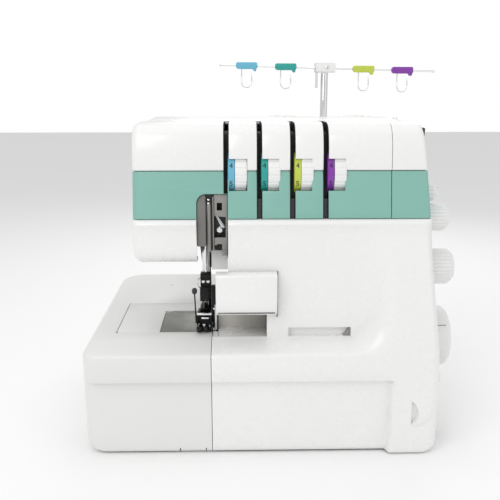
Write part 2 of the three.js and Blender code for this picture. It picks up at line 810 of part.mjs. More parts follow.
function rocker() {
  const x0 = needleX - 11.4;
  const shaft = rod("x", rockerRadius, x0, armCastingRight + 4, [0, 0]);
  const lever = alongX(
    outline([
      [8, -7, 5],
      [8, 7, 5],
      [-44, 4, 3],
      [-44, -4, 3],
    ]),
    x0,
    x0 + 5,
  );
  add("arm_shaft", join(shaft, lever), steel(), [0, rockerY, rockerZ]);
}

// ---- Needles, presser and loopers ----
function needleAssembly() {
  const group = new THREE.Group();
  group.position.set(needleX, needleY, bedTop);
  model.add(group);
  const clampLow = 42.4;
  const clampHigh = clampLow + 10;
  add("needle_bar", rod("z", needleBarRadius, clampHigh + fit, clampHigh + 114, [0, 0], 16), steel(), [0, 0, 0], group);
  add("needle_clamp", box(-5.2, 5.2, -5.5, 5.5, clampLow, clampHigh), blackMetal(), [0, 0, 0], group);
  const tip = clampLow - fit - needleLength;
  const shank = tip + 24;
  ["needle_left", "needle_right"].forEach((name, i) => {
    const needle = turned(
      [
        [0, tip],
        [0.5, tip + 3],
        [0.5, shank],
        [1, shank + 1],
        [1, clampLow - fit],
        [0, clampLow - fit],
      ],
      "z",
      8,
    );
    add(name, needle, steel(), [(i - 0.5) * needleSpacing, 0, 0], group);
  });
}

function presser() {
  const group = new THREE.Group();
  group.position.set(needleX, presserY, bedTop);
  model.add(group);
  add("presser_bar", rod("z", presserBarRadius, 27, 172, [0, 0], 16), steel(), [0, 0, 0], group);
  const sole = alongX(
    outline([
      [-42, 4.5],
      [-38, 0.4, 2],
      [10, 0.4],
      [10, 3.4],
      [-36, 3.4, 2],
      [-40, 6.5],
    ]),
    -8.4,
    5.2,
  );
  const needleSlot = box(-5.2, 3.4, -presserSetback - 4, -presserSetback + 4, -5, 20);
  const fork = box(-2.5, -0.2, -50, -presserSetback - 3.9, -5, 20);
  const ankle = box(-4.5, 4.5, -6, 6, 3, 26.5);
  const shoulder = box(-6.6, 4.5, -9, 8, 3, 14);
  add("presser_foot", join(cut(sole, needleSlot, fork), ankle, shoulder), blackMetal(), [0, 0, 0], group);
}

function presserLifter() {
  const hub = rod("x", 5, -9, 9, [0, 0], 16);
  const lever = box(-3, 3, -4, 4, -lifterReach, -3);
  add("presser_lifter", join(hub, lever), blackMetal(), [needleX, lifterY, armBottom + 5.9]);
}

function loopers() {
  const arm = (points, thickness) => alongY(outline(points), -thickness / 2, thickness / 2, 3);
  const lower = join(
    arm(
      [
        [-4, -4, 2],
        [4, -4, 2],
        [4, 18],
        [27, 27],
        [26, 29.5],
        [-3, 24, 5],
      ],
      2.6,
    ),
    rod("y", 5, -1.3, 4, [0, 0], 16),
  );
  add("lower_looper", lower, steel(), [needleX - 25.4, needleY - 7.5, bedTop - 41.6]);
  const upper = join(
    arm(
      [
        [-4, -4, 2],
        [4, -4, 2],
        [4, 20, 6],
        [-18, 40],
        [-22, 45],
        [-23, 44],
        [-20, 38],
        [-4, 18],
      ],
      2.6,
    ),
    rod("y", 5, -1.3, 1.5, [0, 0], 16),
  );
  add("upper_looper", upper, steel(), [columnX + 8, needleY - 3.5, bedTop - 53.6]);
}

function knives() {
  const split = seamX + 2.2;
  const y0 = 46;
  const y1 = 56;
  add("lower_knife", box(split - 2.2, split - fit / 2, y0, y1, 80, bedTop - 0.3), steel());
  const blade = alongX(
    outline([
      [y0, bedTop + 1],
      [y1, bedTop - 1.5],
      [y1 + 20, bedTop + 2],
      [y1 + 20, bedTop + 14],
      [y1, bedTop + 14],
      [y1, bedTop + 26],
      [y0, bedTop + 26],
    ]),
    split + fit / 2,
    split + 2.1,
  );
  const holder = box(split + fit / 2, split + 7, 64.5, 76, 74, bedTop + 14);
  add("upper_knife", join(blade, holder), steel());
}

function feedDog() {
  const leftRow = box(needleX - 8.2, needleX - 5.6, 53, 87, bedTop - 6, bedTop - 0.4);
  const rightRow = box(needleX + 0.4, needleX + 3.3, 73, 90, bedTop - 6, bedTop - 0.4);
  const bridge = box(needleX - 8.2, needleX + 3.3, 79, 90, bedTop - 15, bedTop - 5);
  add("feed_dog", join(leftRow, rightRow, bridge), steel());
}

// ---- Controls ----
function tensionDials() {
  slotXs.forEach((x, i) => {
    const middle = x + slotWidth / 2 - dialOverlap + dialWidth / 2;
    const dial = ring(dialRadius, dialBore + fit, dialWidth / 2, "x", 36);
    add(`tension_dial_${i + 1}`, dial, paint(spoolColours[i], 0.4), [middle, dialY, dialZ]);
  });
}

// A knob on the right side, with a collar against the cover.
function sideKnob(name, radius, length, [x, y, z], colour) {
  const knob = turned(
    [
      [0, 0],
      [radius * collarShare, 0],
      [radius * collarShare, 2],
      [radius, 2],
      [radius, length - 2],
      [radius - 2, length],
      [0, length],
    ],
    "x",
    32,
  );
  add(name, knob, colour, [x, y, z]);
}

function controls() {
  const lengthZ = bedTop + 56.4;
  const feedZ = lipZ - 6;
  // Each stands clear of the leaning side at its collar's lower edge.
  const lengthX = sideAt(lengthZ - lengthRadius * collarShare) + gap;
  const feedX = sideAt(feedZ - feedRadius * collarShare) + gap;
  sideKnob("stitch_length_dial", lengthRadius, 26, [lengthX, knobY, lengthZ], knobGrey());
  sideKnob("differential_feed_knob", feedRadius, 22, [feedX, knobY, feedZ], knobGrey());
  sideKnob("cutting_width_knob", 8, 18, [headRightX + fit, knobY + 4, lipZ + 17], knobGrey());
  const rocking = outline([
    [-2.4, -9.5],
    [1.4, -9.5],
    [4.2, 9.5],
    [-2.4, 9.5],
  ]);
  add("power_switch", alongY(rocking, -6, 6), darkPlastic(), [right, switchY, switchZ]);
  const socket = cut(box(0, 7.4, -12, 12, -10, 10), box(2, 9, -10, 10, -8, 8));
  add("power_inlet", socket, darkPlastic(), [right - 7, headSplitY + 31.5, 33]);
}

// ---- Thread stand ----
const spoolXs = [-2, -1, 1, 2].map((n) => antennaX + n * spoolPitch);

function spoolStand() {
  const y0 = headRearY + gap;
  const plate = alongZ(
    outline([
      [spoolXs[0] - 24, y0, 6],
      [spoolXs[3] + 24, y0, 6],
      [spoolXs[3] + 24, spoolPinY + 34, 14],
      [spoolXs[0] - 24, spoolPinY + 34, 14],
    ]),
    spoolStandZ,
    spoolStandZ + 5,
  );
  const posts = spoolXs.map((x, i) => {
    const at = [x, spoolPinY];
    const inner = i === 1 || i === 2;
    const pin = rod("z", spoolPinRadius, spoolStandZ + 4, spoolStandZ + spoolPinHeight, at, 12);
    const rest = rod("z", 21, spoolStandZ + 4, spoolStandZ + 12, at, 24);
    const capZ = spoolStandZ + spoolPinHeight;
    const cap = rod("z", 18.5, capZ - 1, capZ + 4, at, 24);
    return inner ? join(pin, rest, cap) : join(pin, rest);
  });
  const clearance = rod("z", antennaTubeRadius + fit, 0, 400, [antennaX, antennaY]);
  const flange = box(antennaX - 34, antennaX + 34, y0, y0 + 4, spoolStandZ - 32, spoolStandZ + 1);
  add("spool_stand", cut(join(plate, flange, ...posts), clearance), knobGrey());
}

function antenna() {
  const low = spoolStandZ - 20;
  const tubeTop = antennaTop - antennaTravel - 10;
  const tube = cut(
    rod("z", antennaTubeRadius, low, tubeTop, [0, 0]),
    rod("z", antennaRodRadius + fit, low + 3, tubeTop + 5, [0, 0]),
  );
  add("antenna_tube", tube, steel(), [antennaX, antennaY, 0]);
  const rodLow = tubeTop - 25;
  const upper = rod("z", antennaRodRadius, rodLow, antennaTop, [0, 0]);
  add("antenna_rod", upper, steel(), [antennaX, antennaY, 0]);

  const top = new THREE.Group();
  top.position.set(antennaX, antennaY, antennaTop + fit);
  model.add(top);
  const barZ = 5;
  const halfBar = guideBarLength / 2;
  const tilted = (solid) => solid.rotate([0, (guideBarTilt * 180) / Math.PI, 0]).translate([0, 0, barZ]);
  const barFrom = -halfBar + 3;
  const barTo = halfBar + 3;
  const bar = tilted(rod("x", guideBarRadius, barFrom, barTo, [0, 0], 10));
  const bracket = box(-11, 12, -5, 5, 0, 10.5);
  const leg = box(-10, -7.5, -2, 2, -17, 1);
  add("guide_bar", join(bar, bracket, leg), knobGrey(), [0, 0, 0], top);

  const wireRadius = 0.75;
  const loopPath = (x) =>
    new THREE.CatmullRomCurve3(
      [
        [x - 5, 0, -2],
        [x - 5, -2, -18],
        [x, -2.6, -23],
        [x + 5, -2, -18],
        [x + 5, 0, -10],
      ].map((p) => new THREE.Vector3(...p)),
    );
  const section = new THREE.Shape();
  section.absarc(0, 0, wireRadius, 0, 2 * Math.PI, false);
  spoolXs.forEach((spoolX, i) => {
    const x = spoolX - antennaX;
    const wire = toSolid(
      new THREE.ExtrudeGeometry(section, { steps: 16, extrudePath: loopPath(x), curveSegments: 3 }),
    ).translate([0, 0, barZ]);
    const clip = box(x - 12, x + 12, -3.6, 3.6, barZ - 3.6, barZ + 3.6);
    const bore = tilted(rod("x", guideBarRadius + fit, -200, 200, [0, 0], 10));
    const drop = -x * Math.sin(guideBarTilt);
    const guide = cut(join(clip, wire).translate([0, 0, drop]), bore);
    add(`thread_guide_${i + 1}`, guide, paint(spoolColours[i], 0.4), [0, 0, 0], top);
  });
}

basePan();
feet();
bedCasting();
columnCasting();
armCasting();
extensionTable();
bedCover();
needlePlate();
looperCover();
knifeGuard();
hingeRod();
upperFrontCover();
greenBands();
rightEndCover();
armLowerCover();
rearCover();
sideCover();
columnInnerCover();
sidePanel();
faceParts();
drive();
rocker();
needleAssembly();
presser();
presserLifter();
loopers();
knives();
feedDog();
tensionDials();
controls();
spoolStand();
antenna();

// The frame's origin is the middle of the footprint, at the feet's underside.
const extent = new THREE.Box3().setFromObject(model);
const middle = extent.getCenter(new THREE.Vector3());
model.position.set(-middle.x, -middle.y, -extent.min.z);

export default model;
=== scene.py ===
"""Overlock machine: the finished look of its pieces, as a sidebar add-on."""
import json
from math import cos, hypot, pi, radians, sin

import bpy
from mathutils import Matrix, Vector


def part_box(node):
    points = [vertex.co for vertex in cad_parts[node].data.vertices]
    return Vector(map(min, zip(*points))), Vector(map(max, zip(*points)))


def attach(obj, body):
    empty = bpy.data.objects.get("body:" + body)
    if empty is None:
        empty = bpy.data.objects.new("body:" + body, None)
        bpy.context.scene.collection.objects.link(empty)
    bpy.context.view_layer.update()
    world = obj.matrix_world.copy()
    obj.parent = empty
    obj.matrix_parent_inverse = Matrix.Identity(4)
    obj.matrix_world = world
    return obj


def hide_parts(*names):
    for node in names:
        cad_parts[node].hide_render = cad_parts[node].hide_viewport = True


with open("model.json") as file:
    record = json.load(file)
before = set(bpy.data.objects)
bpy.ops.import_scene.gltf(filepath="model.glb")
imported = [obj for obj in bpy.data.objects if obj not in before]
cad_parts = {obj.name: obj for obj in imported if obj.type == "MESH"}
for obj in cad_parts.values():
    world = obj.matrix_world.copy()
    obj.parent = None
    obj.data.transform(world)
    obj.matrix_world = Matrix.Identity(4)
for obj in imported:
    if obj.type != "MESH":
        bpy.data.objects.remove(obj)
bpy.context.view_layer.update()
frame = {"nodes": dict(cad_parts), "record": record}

bl_info = {
    "name": "Overlock machine",
    "version": (1, 0, 0),
    "blender": (4, 5, 0),
    "location": "3D View > Sidebar > Overlock",
    "description": "Builds the covers, needle area, controls and thread stand of an overlock machine",
    "category": "Add Mesh",
}

MM = 0.001
DARKER = 0.55
BUMP_DEPTH = 0.2 * MM
CLEAR_COAT_ROUGHNESS = 0.12
MARK_HEIGHT = 0.06
TABLE_LOW, TABLE_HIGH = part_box("extension_table")
TABLE_LEFT, TABLE_TOP = -161, 101.6
# The machine's own axes in the row frame: X = 0 at the body's middle, Y = 0 at the front face and
# Z = 0 at the base pan's underside.
ORIGIN = Vector((TABLE_LOW.x - TABLE_LEFT * MM, TABLE_LOW.y, TABLE_HIGH.z - TABLE_TOP * MM))
BODY_OF = {node: body for body, nodes in frame["record"]["behaviour"]["bodies"].items() for node in nodes}
SPOOL_SLOTS = ("sky_blue", "teal", "lime", "purple")
FINISH = {}


def M(x, y, z):
    """Machine millimetres to the row frame's metres."""
    return ORIGIN + Vector((x, y, z)) * MM


def mm_box(node):
    """A CAD node's lowest and highest corner in machine millimetres."""
    low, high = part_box(node)
    return (low - ORIGIN) / MM, (high - ORIGIN) / MM


# ---------------------------------------------------------------- mesh helpers
def deselect():
    if bpy.context.object and bpy.context.object.mode != "OBJECT":
        bpy.ops.object.mode_set(mode="OBJECT")
    bpy.ops.object.select_all(action="DESELECT")


def pick(piece):
    deselect()
    piece.select_set(True)
    bpy.context.view_layer.objects.active = piece


def settle():
    """Writes the active piece's place, turn and scale into its mesh."""
    bpy.ops.object.transform_apply(location=True, rotation=True, scale=True)


def edit(piece, *steps):
    """Runs edit-mode steps on the whole mesh."""
    pick(piece)
    bpy.ops.object.mode_set(mode="EDIT")
    bpy.ops.mesh.select_all(action="SELECT")
    for step in steps:
        step()
    bpy.ops.object.mode_set(mode="OBJECT")


def outward():
    bpy.ops.mesh.normals_make_consistent(inside=False)


def merge():
    bpy.ops.mesh.remove_doubles(threshold=0.00001)


def apply(piece, kind, **settings):
    pick(piece)
    modifier = piece.modifiers.new(kind, kind)
    for key, value in settings.items():
        setattr(modifier, key, value)
    bpy.ops.object.modifier_apply(modifier=modifier.name)
    return piece


def soften(piece, width, segments=3, angle=30):
    """Rounds the edges sharper than angle."""
    return apply(
        piece,
        "BEVEL",
        width=width * MM,
        segments=segments,
        limit_method="ANGLE",
        angle_limit=radians(angle),
        use_clamp_overlap=True,
    )


def shade(piece, angle=32):
    pick(piece)
    bpy.ops.object.shade_smooth_by_angle(angle=radians(angle))
    return piece


def cut(piece, *cutters):
    """Takes the cutters out of the piece."""
    for cutter in cutters:
        apply(piece, "BOOLEAN", object=cutter, operation="DIFFERENCE", solver="EXACT")
        bpy.data.objects.remove(cutter)
    return piece


def keep(piece, cutter):
    apply(piece, "BOOLEAN", object=cutter, operation="INTERSECT", solver="EXACT")
    bpy.data.objects.remove(cutter)
    return piece


def joined(name, pieces):
    """One object of several, each keeping its own material."""
    pick(pieces[0])
    for piece in pieces[1:]:
        piece.select_set(True)
    if len(pieces) > 1:
        bpy.ops.object.join()
    result = bpy.context.object
    result.name = name
    return result


def coat(piece, look):
    """Gives the piece one finish."""
    piece.data.materials.clear()
    piece.data.materials.append(FINISH[look])
    return piece


def done(piece, look, body, *replaced):
    """Finishes the piece and hangs it on its CAD body."""
    if look:
        coat(piece, look)
    pick(piece)
    settle()
    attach(piece, body)
    if replaced:
        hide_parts(*replaced)
    return piece


def assembled(node, *pieces):
    """Joins coated pieces into the finished look of one CAD node."""
    return done(joined(node + "_finished", pieces), None, BODY_OF[node], node)


def add(parts, look, *pieces):
    parts += [coat(piece, look) for piece in pieces]


def blocks(*rows):
    """Coated boxes; each row is a look, a name and the box's numbers."""
    return [coat(box(*row), look) for look, *row in rows]


def box(name, x0, x1, y0, y1, z0, z1, bevel=0, segments=3):
    deselect()
    bpy.ops.mesh.primitive_cube_add(size=1, location=M((x0 + x1) / 2, (y0 + y1) / 2, (z0 + z1) / 2))
    piece = bpy.context.object
    piece.name = name
    piece.scale = Vector((x1 - x0, y1 - y0, z1 - z0)) * MM
    settle()
    if bevel:
        soften(piece, bevel, segments)
        shade(piece)
    return piece


AXES = {"x": (0, pi / 2, 0), "y": (-pi / 2, 0, 0), "z": (0, 0, 0)}


def along(axis, along_value, a, b):
    """A point from its place along an axis and its two other coordinates in X, Y, Z order."""
    if axis == "x":
        return M(along_value, a, b)
    if axis == "y":
        return M(a, along_value, b)
    return M(a, b, along_value)


def rod(name, axis, radius, start, end, centre, sides=32, bevel=0):
    deselect()
    bpy.ops.mesh.primitive_cylinder_add(
        vertices=sides,
        radius=radius * MM,
        depth=(end - start) * MM,
        location=along(axis, (start + end) / 2, *centre),
        rotation=AXES[axis],
    )
    piece = bpy.context.object
    piece.name = name
    settle()
    if bevel:
        soften(piece, bevel, 3, 50)
    return shade(piece)


def sheet_grid(name, columns, rows, place):
    """A grid whose vertex (column, row) lies at place(column, row), in metres."""
    deselect()
    bpy.ops.mesh.primitive_grid_add(x_subdivisions=columns, y_subdivisions=rows, size=2)
    piece = bpy.context.object
    piece.name = name
    for vertex in piece.data.vertices:
        column = round((vertex.co.x + 1) / 2 * columns)
        row = round((vertex.co.y + 1) / 2 * rows)
        vertex.co = place(column, row)
    return piece


def turned(name, profile, axis, centre, sides=48, bump=None):
    """A solid of revolution; profile points are [radius, place along the axis] in millimetres."""

    def place(column, row):
        angle = 2 * pi * column / sides
        radius, distance = profile[row]
        if bump:
            radius += bump(column, row)
        a, b = radius * cos(angle), radius * sin(angle)
        return along(axis, distance, centre[0] + a, centre[1] + b)

    piece = sheet_grid(name, sides, len(profile) - 1, place)
    edit(piece, merge, outward)
    return shade(piece)


def bead(name, at, radii, reach, axis, centre):
    """A small rounded end: its radii and how far each lies from its middle."""
    near, far = reach
    profile = [(0, at - far), (radii[0], at - near), (radii[1], at), (radii[0], at + near), (0, at + far)]
    return turned(name, profile, axis, centre, 20)


def prism(name, outline, axis, low, high, bevel=0, segments=3, angle=30):
    """A flat outline in the two other axes, drawn out along axis."""
    deselect()
    bpy.ops.mesh.primitive_circle_add(vertices=len(outline), fill_type="NGON")
    piece = bpy.context.object
    piece.name = name
    for vertex, (a, b) in zip(piece.data.vertices, outline):
        vertex.co = along(axis, low, a, b)
    step = along(axis, high, 0, 0) - along(axis, low, 0, 0)
    edit(
        piece,
        lambda: bpy.ops.mesh.extrude_region_move(TRANSFORM_OT_translate={"value": step}),
        lambda: bpy.ops.mesh.select_all(action="SELECT"),
        outward,
    )
    if bevel:
        soften(piece, bevel, segments, angle)
    return shade(piece)


def wire(name, points, radius, resolution=4):
    """A round wire through the points."""
    deselect()
    bpy.ops.curve.primitive_nurbs_path_add()
    path = bpy.context.object
    path.name = name
    curve = path.data
    curve.splines.clear()
    spline = curve.splines.new("BEZIER")
    spline.bezier_points.add(len(points) - 1)
    for point, place in zip(spline.bezier_points, points):
        point.co = M(*place)
        point.handle_left_type = point.handle_right_type = "AUTO"
    curve.dimensions = "3D"
    curve.bevel_depth = radius * MM
    curve.bevel_resolution = 3
    curve.resolution_u = resolution
    curve.use_fill_caps = True
    pick(path)
    bpy.ops.object.convert(target="MESH")
    return shade(bpy.context.object, 60)


def arc(centre_a, centre_b, radius, start, end, steps):
    """Points on a circle, degrees from start to end."""
    angles = [radians(start + (end - start) * i / steps) for i in range(steps + 1)]
    return [(centre_a + radius * cos(t), centre_b + radius * sin(t)) for t in angles]


def curved(start, control, end, steps):
    """Points on a quadratic curve."""
    points = []
    for i in range(steps + 1):
        t = i / steps
        a, b, c = (1 - t) ** 2, 2 * t * (1 - t), t * t
        points.append(tuple(a * s + b * k + c * e for s, k, e in zip(start, control, end)))
    return points


def smoothstep(low, high, value):
    t = min(1, max(0, (value - low) / (high - low)))
    return t * t * (3 - 2 * t)


def refined(node, bevel=0.4, segments=2, angle=35):
    """A cleaned copy of a CAD node's mesh with softened edges."""
    source = frame["nodes"][node]
    piece = bpy.data.objects.new(node + "_finished", source.data.copy())
    bpy.context.scene.collection.objects.link(piece)
    piece.data.materials.clear()
    edit(piece, merge, lambda: bpy.ops.mesh.dissolve_limited(angle_limit=radians(1)), outward)
    if bevel:
        soften(piece, bevel, segments, angle)
    return shade(piece)


def screw(name, axis, place, radius=2.6, height=1.4, facing=1):
    """A pan-head screw with a cross recess; axis is the way its shank runs."""
    x, y, z = place
    centre = {"x": (y, z), "y": (x, z), "z": (x, y)}[axis]
    start = {"x": x, "y": y, "z": z}[axis]
    profile = [
        (0, start),
        (radius, start),
        (radius, start + facing * height * 0.45),
        (radius * 0.72, start + facing * height * 0.85),
        (0, start + facing * height),
    ]
    head = turned(name, profile, axis, centre, 24)
    top = start + facing * height
    slots = []
    for across in (0, 1):
        reach = [radius * 0.62, radius * 0.16]
        if across:
            reach.reverse()
        span = {
            "x": (top - 0.7, top + 0.7, y - reach[0], y + reach[0], z - reach[1], z + reach[1]),
            "y": (x - reach[0], x + reach[0], top - 0.7, top + 0.7, z - reach[1], z + reach[1]),
            "z": (x - reach[0], x + reach[0], y - reach[1], y + reach[1], top - 0.7, top + 0.7),
        }[axis]
        slots.append(box("slot", *span))
    return cut(head, *slots)


# ---------------------------------------------------------------- materials
def node_group(name, inputs, outputs):
    group = bpy.data.node_groups.new(name, "ShaderNodeTree")
    for label, kind, default in inputs:
        socket = group.interface.new_socket(label, in_out="INPUT", socket_type=kind)
        socket.default_value = default
    for label, kind in outputs:
        group.interface.new_socket(label, in_out="OUTPUT", socket_type=kind)
    return group


def link(tree, source, out, target, into):
    tree.links.new(source.outputs[out], target.inputs[into])


def noise(tree, coordinates, scale, detail=3, roughness=0.55, stretch=None):
    node = tree.nodes.new("ShaderNodeTexNoise")
    node.inputs["Scale"].default_value = scale
    node.inputs["Detail"].default_value = detail
    node.inputs["Roughness"].default_value = roughness
    if stretch:
        mapping = tree.nodes.new("ShaderNodeMapping")
        mapping.inputs["Scale"].default_value = stretch
        link(tree, coordinates, "Object", mapping, "Vector")
        link(tree, mapping, "Vector", node, "Vector")
    else:
        link(tree, coordinates, "Object", node, "Vector")
    return node


def remap(tree, source, out, low, high, from_low=0.3, from_high=0.7):
    node = tree.nodes.new("ShaderNodeMapRange")
    node.inputs["From Min"].default_value = from_low
    node.inputs["From Max"].default_value = from_high
    node.inputs["To Min"].default_value = low
    node.inputs["To Max"].default_value = high
    link(tree, source, out, node, "Value")
    return node


def surface_group(name, grain, cloud, stretch=None):
    """Shared wear: a tint factor, a roughness offset and a fine bump height from object coordinates."""
    group = node_group(
        name,
        [
            ("Tint Amount", "NodeSocketFloat", 0.04),
            ("Roughness Base", "NodeSocketFloat", 0.3),
            ("Roughness Spread", "NodeSocketFloat", 0.08),
        ],
        [("Tint", "NodeSocketFloat"), ("Roughness", "NodeSocketFloat"), ("Height", "NodeSocketFloat")],
    )
    entry = group.nodes.new("NodeGroupInput")
    leave = group.nodes.new("NodeGroupOutput")
    where = group.nodes.new("ShaderNodeTexCoord")
    clouds = remap(group, noise(group, where, cloud, 4), "Fac", 0, 1)
    tint = group.nodes.new("ShaderNodeMath")
    tint.operation = "MULTIPLY"
    link(group, clouds, "Result", tint, 0)
    link(group, entry, "Tint Amount", tint, 1)
    link(group, tint, "Value", leave, "Tint")
    streaks = remap(group, noise(group, where, cloud * 6, 5, 0.6, stretch), "Fac", -1, 1)
    spread = group.nodes.new("ShaderNodeMath")
    spread.operation = "MULTIPLY_ADD"
    link(group, streaks, "Result", spread, 0)
    link(group, entry, "Roughness Spread", spread, 1)
    link(group, entry, "Roughness Base", spread, 2)
    link(group, spread, "Value", leave, "Roughness")
    fine = noise(group, where, grain, 2, 0.5, stretch)
    link(group, fine, "Fac", leave, "Height")
    return group


def finish_material(name, colour, group, roughness, spread, tint, bump, metallic=0, coat=0):
    """A Principled surface whose colour, roughness and bump come from a shared wear group."""
    material = bpy.data.materials.new(name)
    material.use_nodes = True
    tree = material.node_tree
    shader = tree.nodes["Principled BSDF"]
    wear = tree.nodes.new("ShaderNodeGroup")
    wear.node_tree = group
    wear.inputs["Tint Amount"].default_value = tint
    wear.inputs["Roughness Base"].default_value = roughness
    wear.inputs["Roughness Spread"].default_value = spread
    mix = tree.nodes.new("ShaderNodeMix")
    mix.data_type = "RGBA"
    mix.inputs["A"].default_value = colour
    mix.inputs["B"].default_value = tuple(c * DARKER for c in colour[:3]) + (1,)
    link(tree, wear, "Tint", mix, "Factor")
    tree.links.new(mix.outputs["Result"], shader.inputs["Base Color"])
    link(tree, wear, "Roughness", shader, "Roughness")
    bump_node = tree.nodes.new("ShaderNodeBump")
    bump_node.inputs["Strength"].default_value = bump
    bump_node.inputs["Distance"].default_value = BUMP_DEPTH
    link(tree, wear, "Height", bump_node, "Height")
    link(tree, bump_node, "Normal", shader, "Normal")
    shader.inputs["Metallic"].default_value = metallic
    shader.inputs["Coat Weight"].default_value = coat
    shader.inputs["Coat Roughness"].default_value = CLEAR_COAT_ROUGHNESS
    return material


def make_materials():
    """Every finish of the machine, by name."""
    colours = bpy.context.scene.overlock_colours
    moulded = surface_group("Moulded plastic wear", 900, 7)
    grained = surface_group("Grained plastic wear", 2600, 10)
    ground = surface_group("Ground metal wear", 900, 12, (1, 1, 0.04))
    cast = surface_group("Cast metal wear", 700, 22)
    rows = {
        "white_shell": ("White shell", colours.white_shell, moulded, 0.27, 0.05, 0.014, 0.02, 0, 0.25),
        "table_shell": ("Table shell", colours.table_shell, moulded, 0.33, 0.06, 0.016, 0.03, 0, 0.15),
        "green_band": ("Green band", colours.green_band, moulded, 0.36, 0.05, 0.05, 0.06),
        "grey_cover": ("Grey cover", colours.grey_cover, grained, 0.38, 0.07, 0.08, 0.12),
        "control_grey": ("Control grey", colours.control_grey, moulded, 0.38, 0.06, 0.03, 0.08),
        "mark_grey": ("Printed grey", (0.12, 0.12, 0.125, 1), moulded, 0.5, 0.05, 0.08, 0.02),
        "dark_plastic": ("Dark plastic", (0.035, 0.035, 0.037, 1), grained, 0.5, 0.08, 0.15, 0.2),
        "slot_black": ("Slot black", (0.012, 0.012, 0.013, 1), grained, 0.6, 0.06, 0.1, 0.1),
        "cast_frame": ("Cast frame", (0.42, 0.42, 0.41, 1), cast, 0.52, 0.1, 0.25, 0.5, 0.85),
        "steel": ("Ground steel", (0.60, 0.61, 0.62, 1), ground, 0.24, 0.09, 0.15, 0.12, 1),
        "chrome": ("Plated", (0.80, 0.80, 0.81, 1), ground, 0.09, 0.04, 0.05, 0.03, 1),
        "black_steel": ("Black oxide", (0.018, 0.018, 0.019, 1), cast, 0.34, 0.12, 0.3, 0.25, 0.7),
        "plate_steel": ("Plate steel", (0.26, 0.26, 0.24, 1), ground, 0.36, 0.08, 0.2, 0.14, 0.9),
        "rubber": ("Rubber", (0.018, 0.018, 0.018, 1), grained, 0.82, 0.08, 0.3, 0.35),
        "motor_case": ("Motor case", (0.2, 0.205, 0.21, 1), cast, 0.5, 0.1, 0.2, 0.3, 0.4),
        "face_grey": ("Face grey", (0.30, 0.29, 0.275, 1), grained, 0.4, 0.07, 0.08, 0.12),
        "cap_beige": ("Spool cap", (0.62, 0.60, 0.55, 1), moulded, 0.4, 0.06, 0.05, 0.06),
    }
    for slot in SPOOL_SLOTS:
        rows[slot] = (slot.replace("_", " ").title(), getattr(colours, slot), moulded, 0.36, 0.05, 0.06, 0.06)
    return {look: finish_material(name, tuple(colour), *wear) for look, (name, colour, *wear) in rows.items()}


# ---------------------------------------------------------------- lofts and shared outlines
def loft(name, sections, angle=32):
    """A closed skin through rings of points, each in machine millimetres."""
    count = len(sections[0])
    piece = sheet_grid(name, count, len(sections) - 1, lambda c, r: M(*sections[r][c % count]))
    edit(piece, merge)
    edit(piece, lambda: bpy.ops.mesh.fill_holes(sides=0), outward)
    return shade(piece, angle)


def with_normals(points):
    """Adds each point's outward direction, for a section drawn from the front up and over to the back."""
    result = []
    for i, (y, z) in enumerate(points):
        before, after = points[max(0, i - 1)], points[min(len(points) - 1, i + 1)]
        ty, tz = after[0] - before[0], after[1] - before[1]
        length = hypot(ty, tz)
        result.append((y, z, -tz / length, ty / length))
    return result


def inset(front, amount):
    return [(y - ny * amount, z - nz * amount, ny, nz) for y, z, ny, nz in front]


def head_block(name, x0, x1, front, z_low, y_back, rounding=0, lean=0, right_rounding=0):
    """A block under a front section, with its left and right ends rounded; lean tapers the right end."""
    steps = [radians(15 * i) for i in range(7)]
    ends = [(x0, 0, 0)]
    if rounding:
        ends = [(x0 + rounding * (1 - cos(a)), rounding * (1 - sin(a)), 0) for a in steps]
    if right_rounding:
        ends += [
            (x1 - right_rounding * (1 - cos(a)), right_rounding * (1 - sin(a)), lean)
            for a in reversed(steps)
        ]
    else:
        ends.append((x1, 0, lean))
    sections = []
    for x, shrink, slope in ends:
        ring = [(x, y, z) for y, z, _, _ in inset(front, shrink)]
        ring += [(x, y_back, ring[-1][2]), (x, y_back, z_low)]
        sections.append([(px - slope * (pz - LIP_Z), py, pz) for px, py, pz in ring])
    return loft(name, sections)


LIP_Z = 212
BAND_FRONT = with_normals([(32.3 + 8.6 * i / 6, LIP_Z + 41.2 * i / 6) for i in range(7)])
UPPER_FRONT = [(y, z, -1, 0) for y, z in [(42.2, 253.6), (40.9, 253.9), (40.1, 254.7), (39.9, 255.9)]]
UPPER_FRONT += with_normals(
    [(40.6, 262), (41.1, 268), (42.1, 274), (43.6, 279.4), (45.7, 284.4), (48.4, 288.6), (51.8, 291.7)]
    + [(55.6, 293.6), (60, 294.5), (68, 294.9), (84, 294.6), (100, 294), (130, 292.7)]
)
LIP_FRONT = with_normals(
    [
        (130, 170.4), (60, 170.4), (46, 170.5), (40.4, 171), (36.6, 172.4), (33.4, 175), (31.2, 178.6),
        (30.2, 183), (30, 190),
    ]
)
LIP_FRONT += [
    (y, z, -1, 0)
    for y, z in [
        (30.1, 198), (29.4, 202.6), (28.2, 205.6), (27.5, 207.6), (28.4, 209.7), (30.4, 211.1), (33, 211.4),
        (37, 211.5),
    ]
]


def slot_places():
    sizes = bpy.context.scene.overlock_sizes
    return [sizes.first_slot / MM + i * sizes.slot_pitch / MM for i in range(4)]


# ---------------------------------------------------------------- table and looper cover
def table_ring(z, front, left, rear, front_radius, rear_radius, right=-46.7):
    """One level of the table's outline, from its front right corner round to the rear right one."""
    ring = [(right, front), ((right + left) / 2, front)]
    ring += arc(left + front_radius, front + front_radius, front_radius, 270, 180, 9)
    ring += [(left, (front + rear) / 2)]
    ring += arc(left + rear_radius, rear - rear_radius, rear_radius, 180, 90, 12)
    ring += [((right + left) / 2, rear), (right, rear)]
    return [(x, y, z) for x, y in ring]


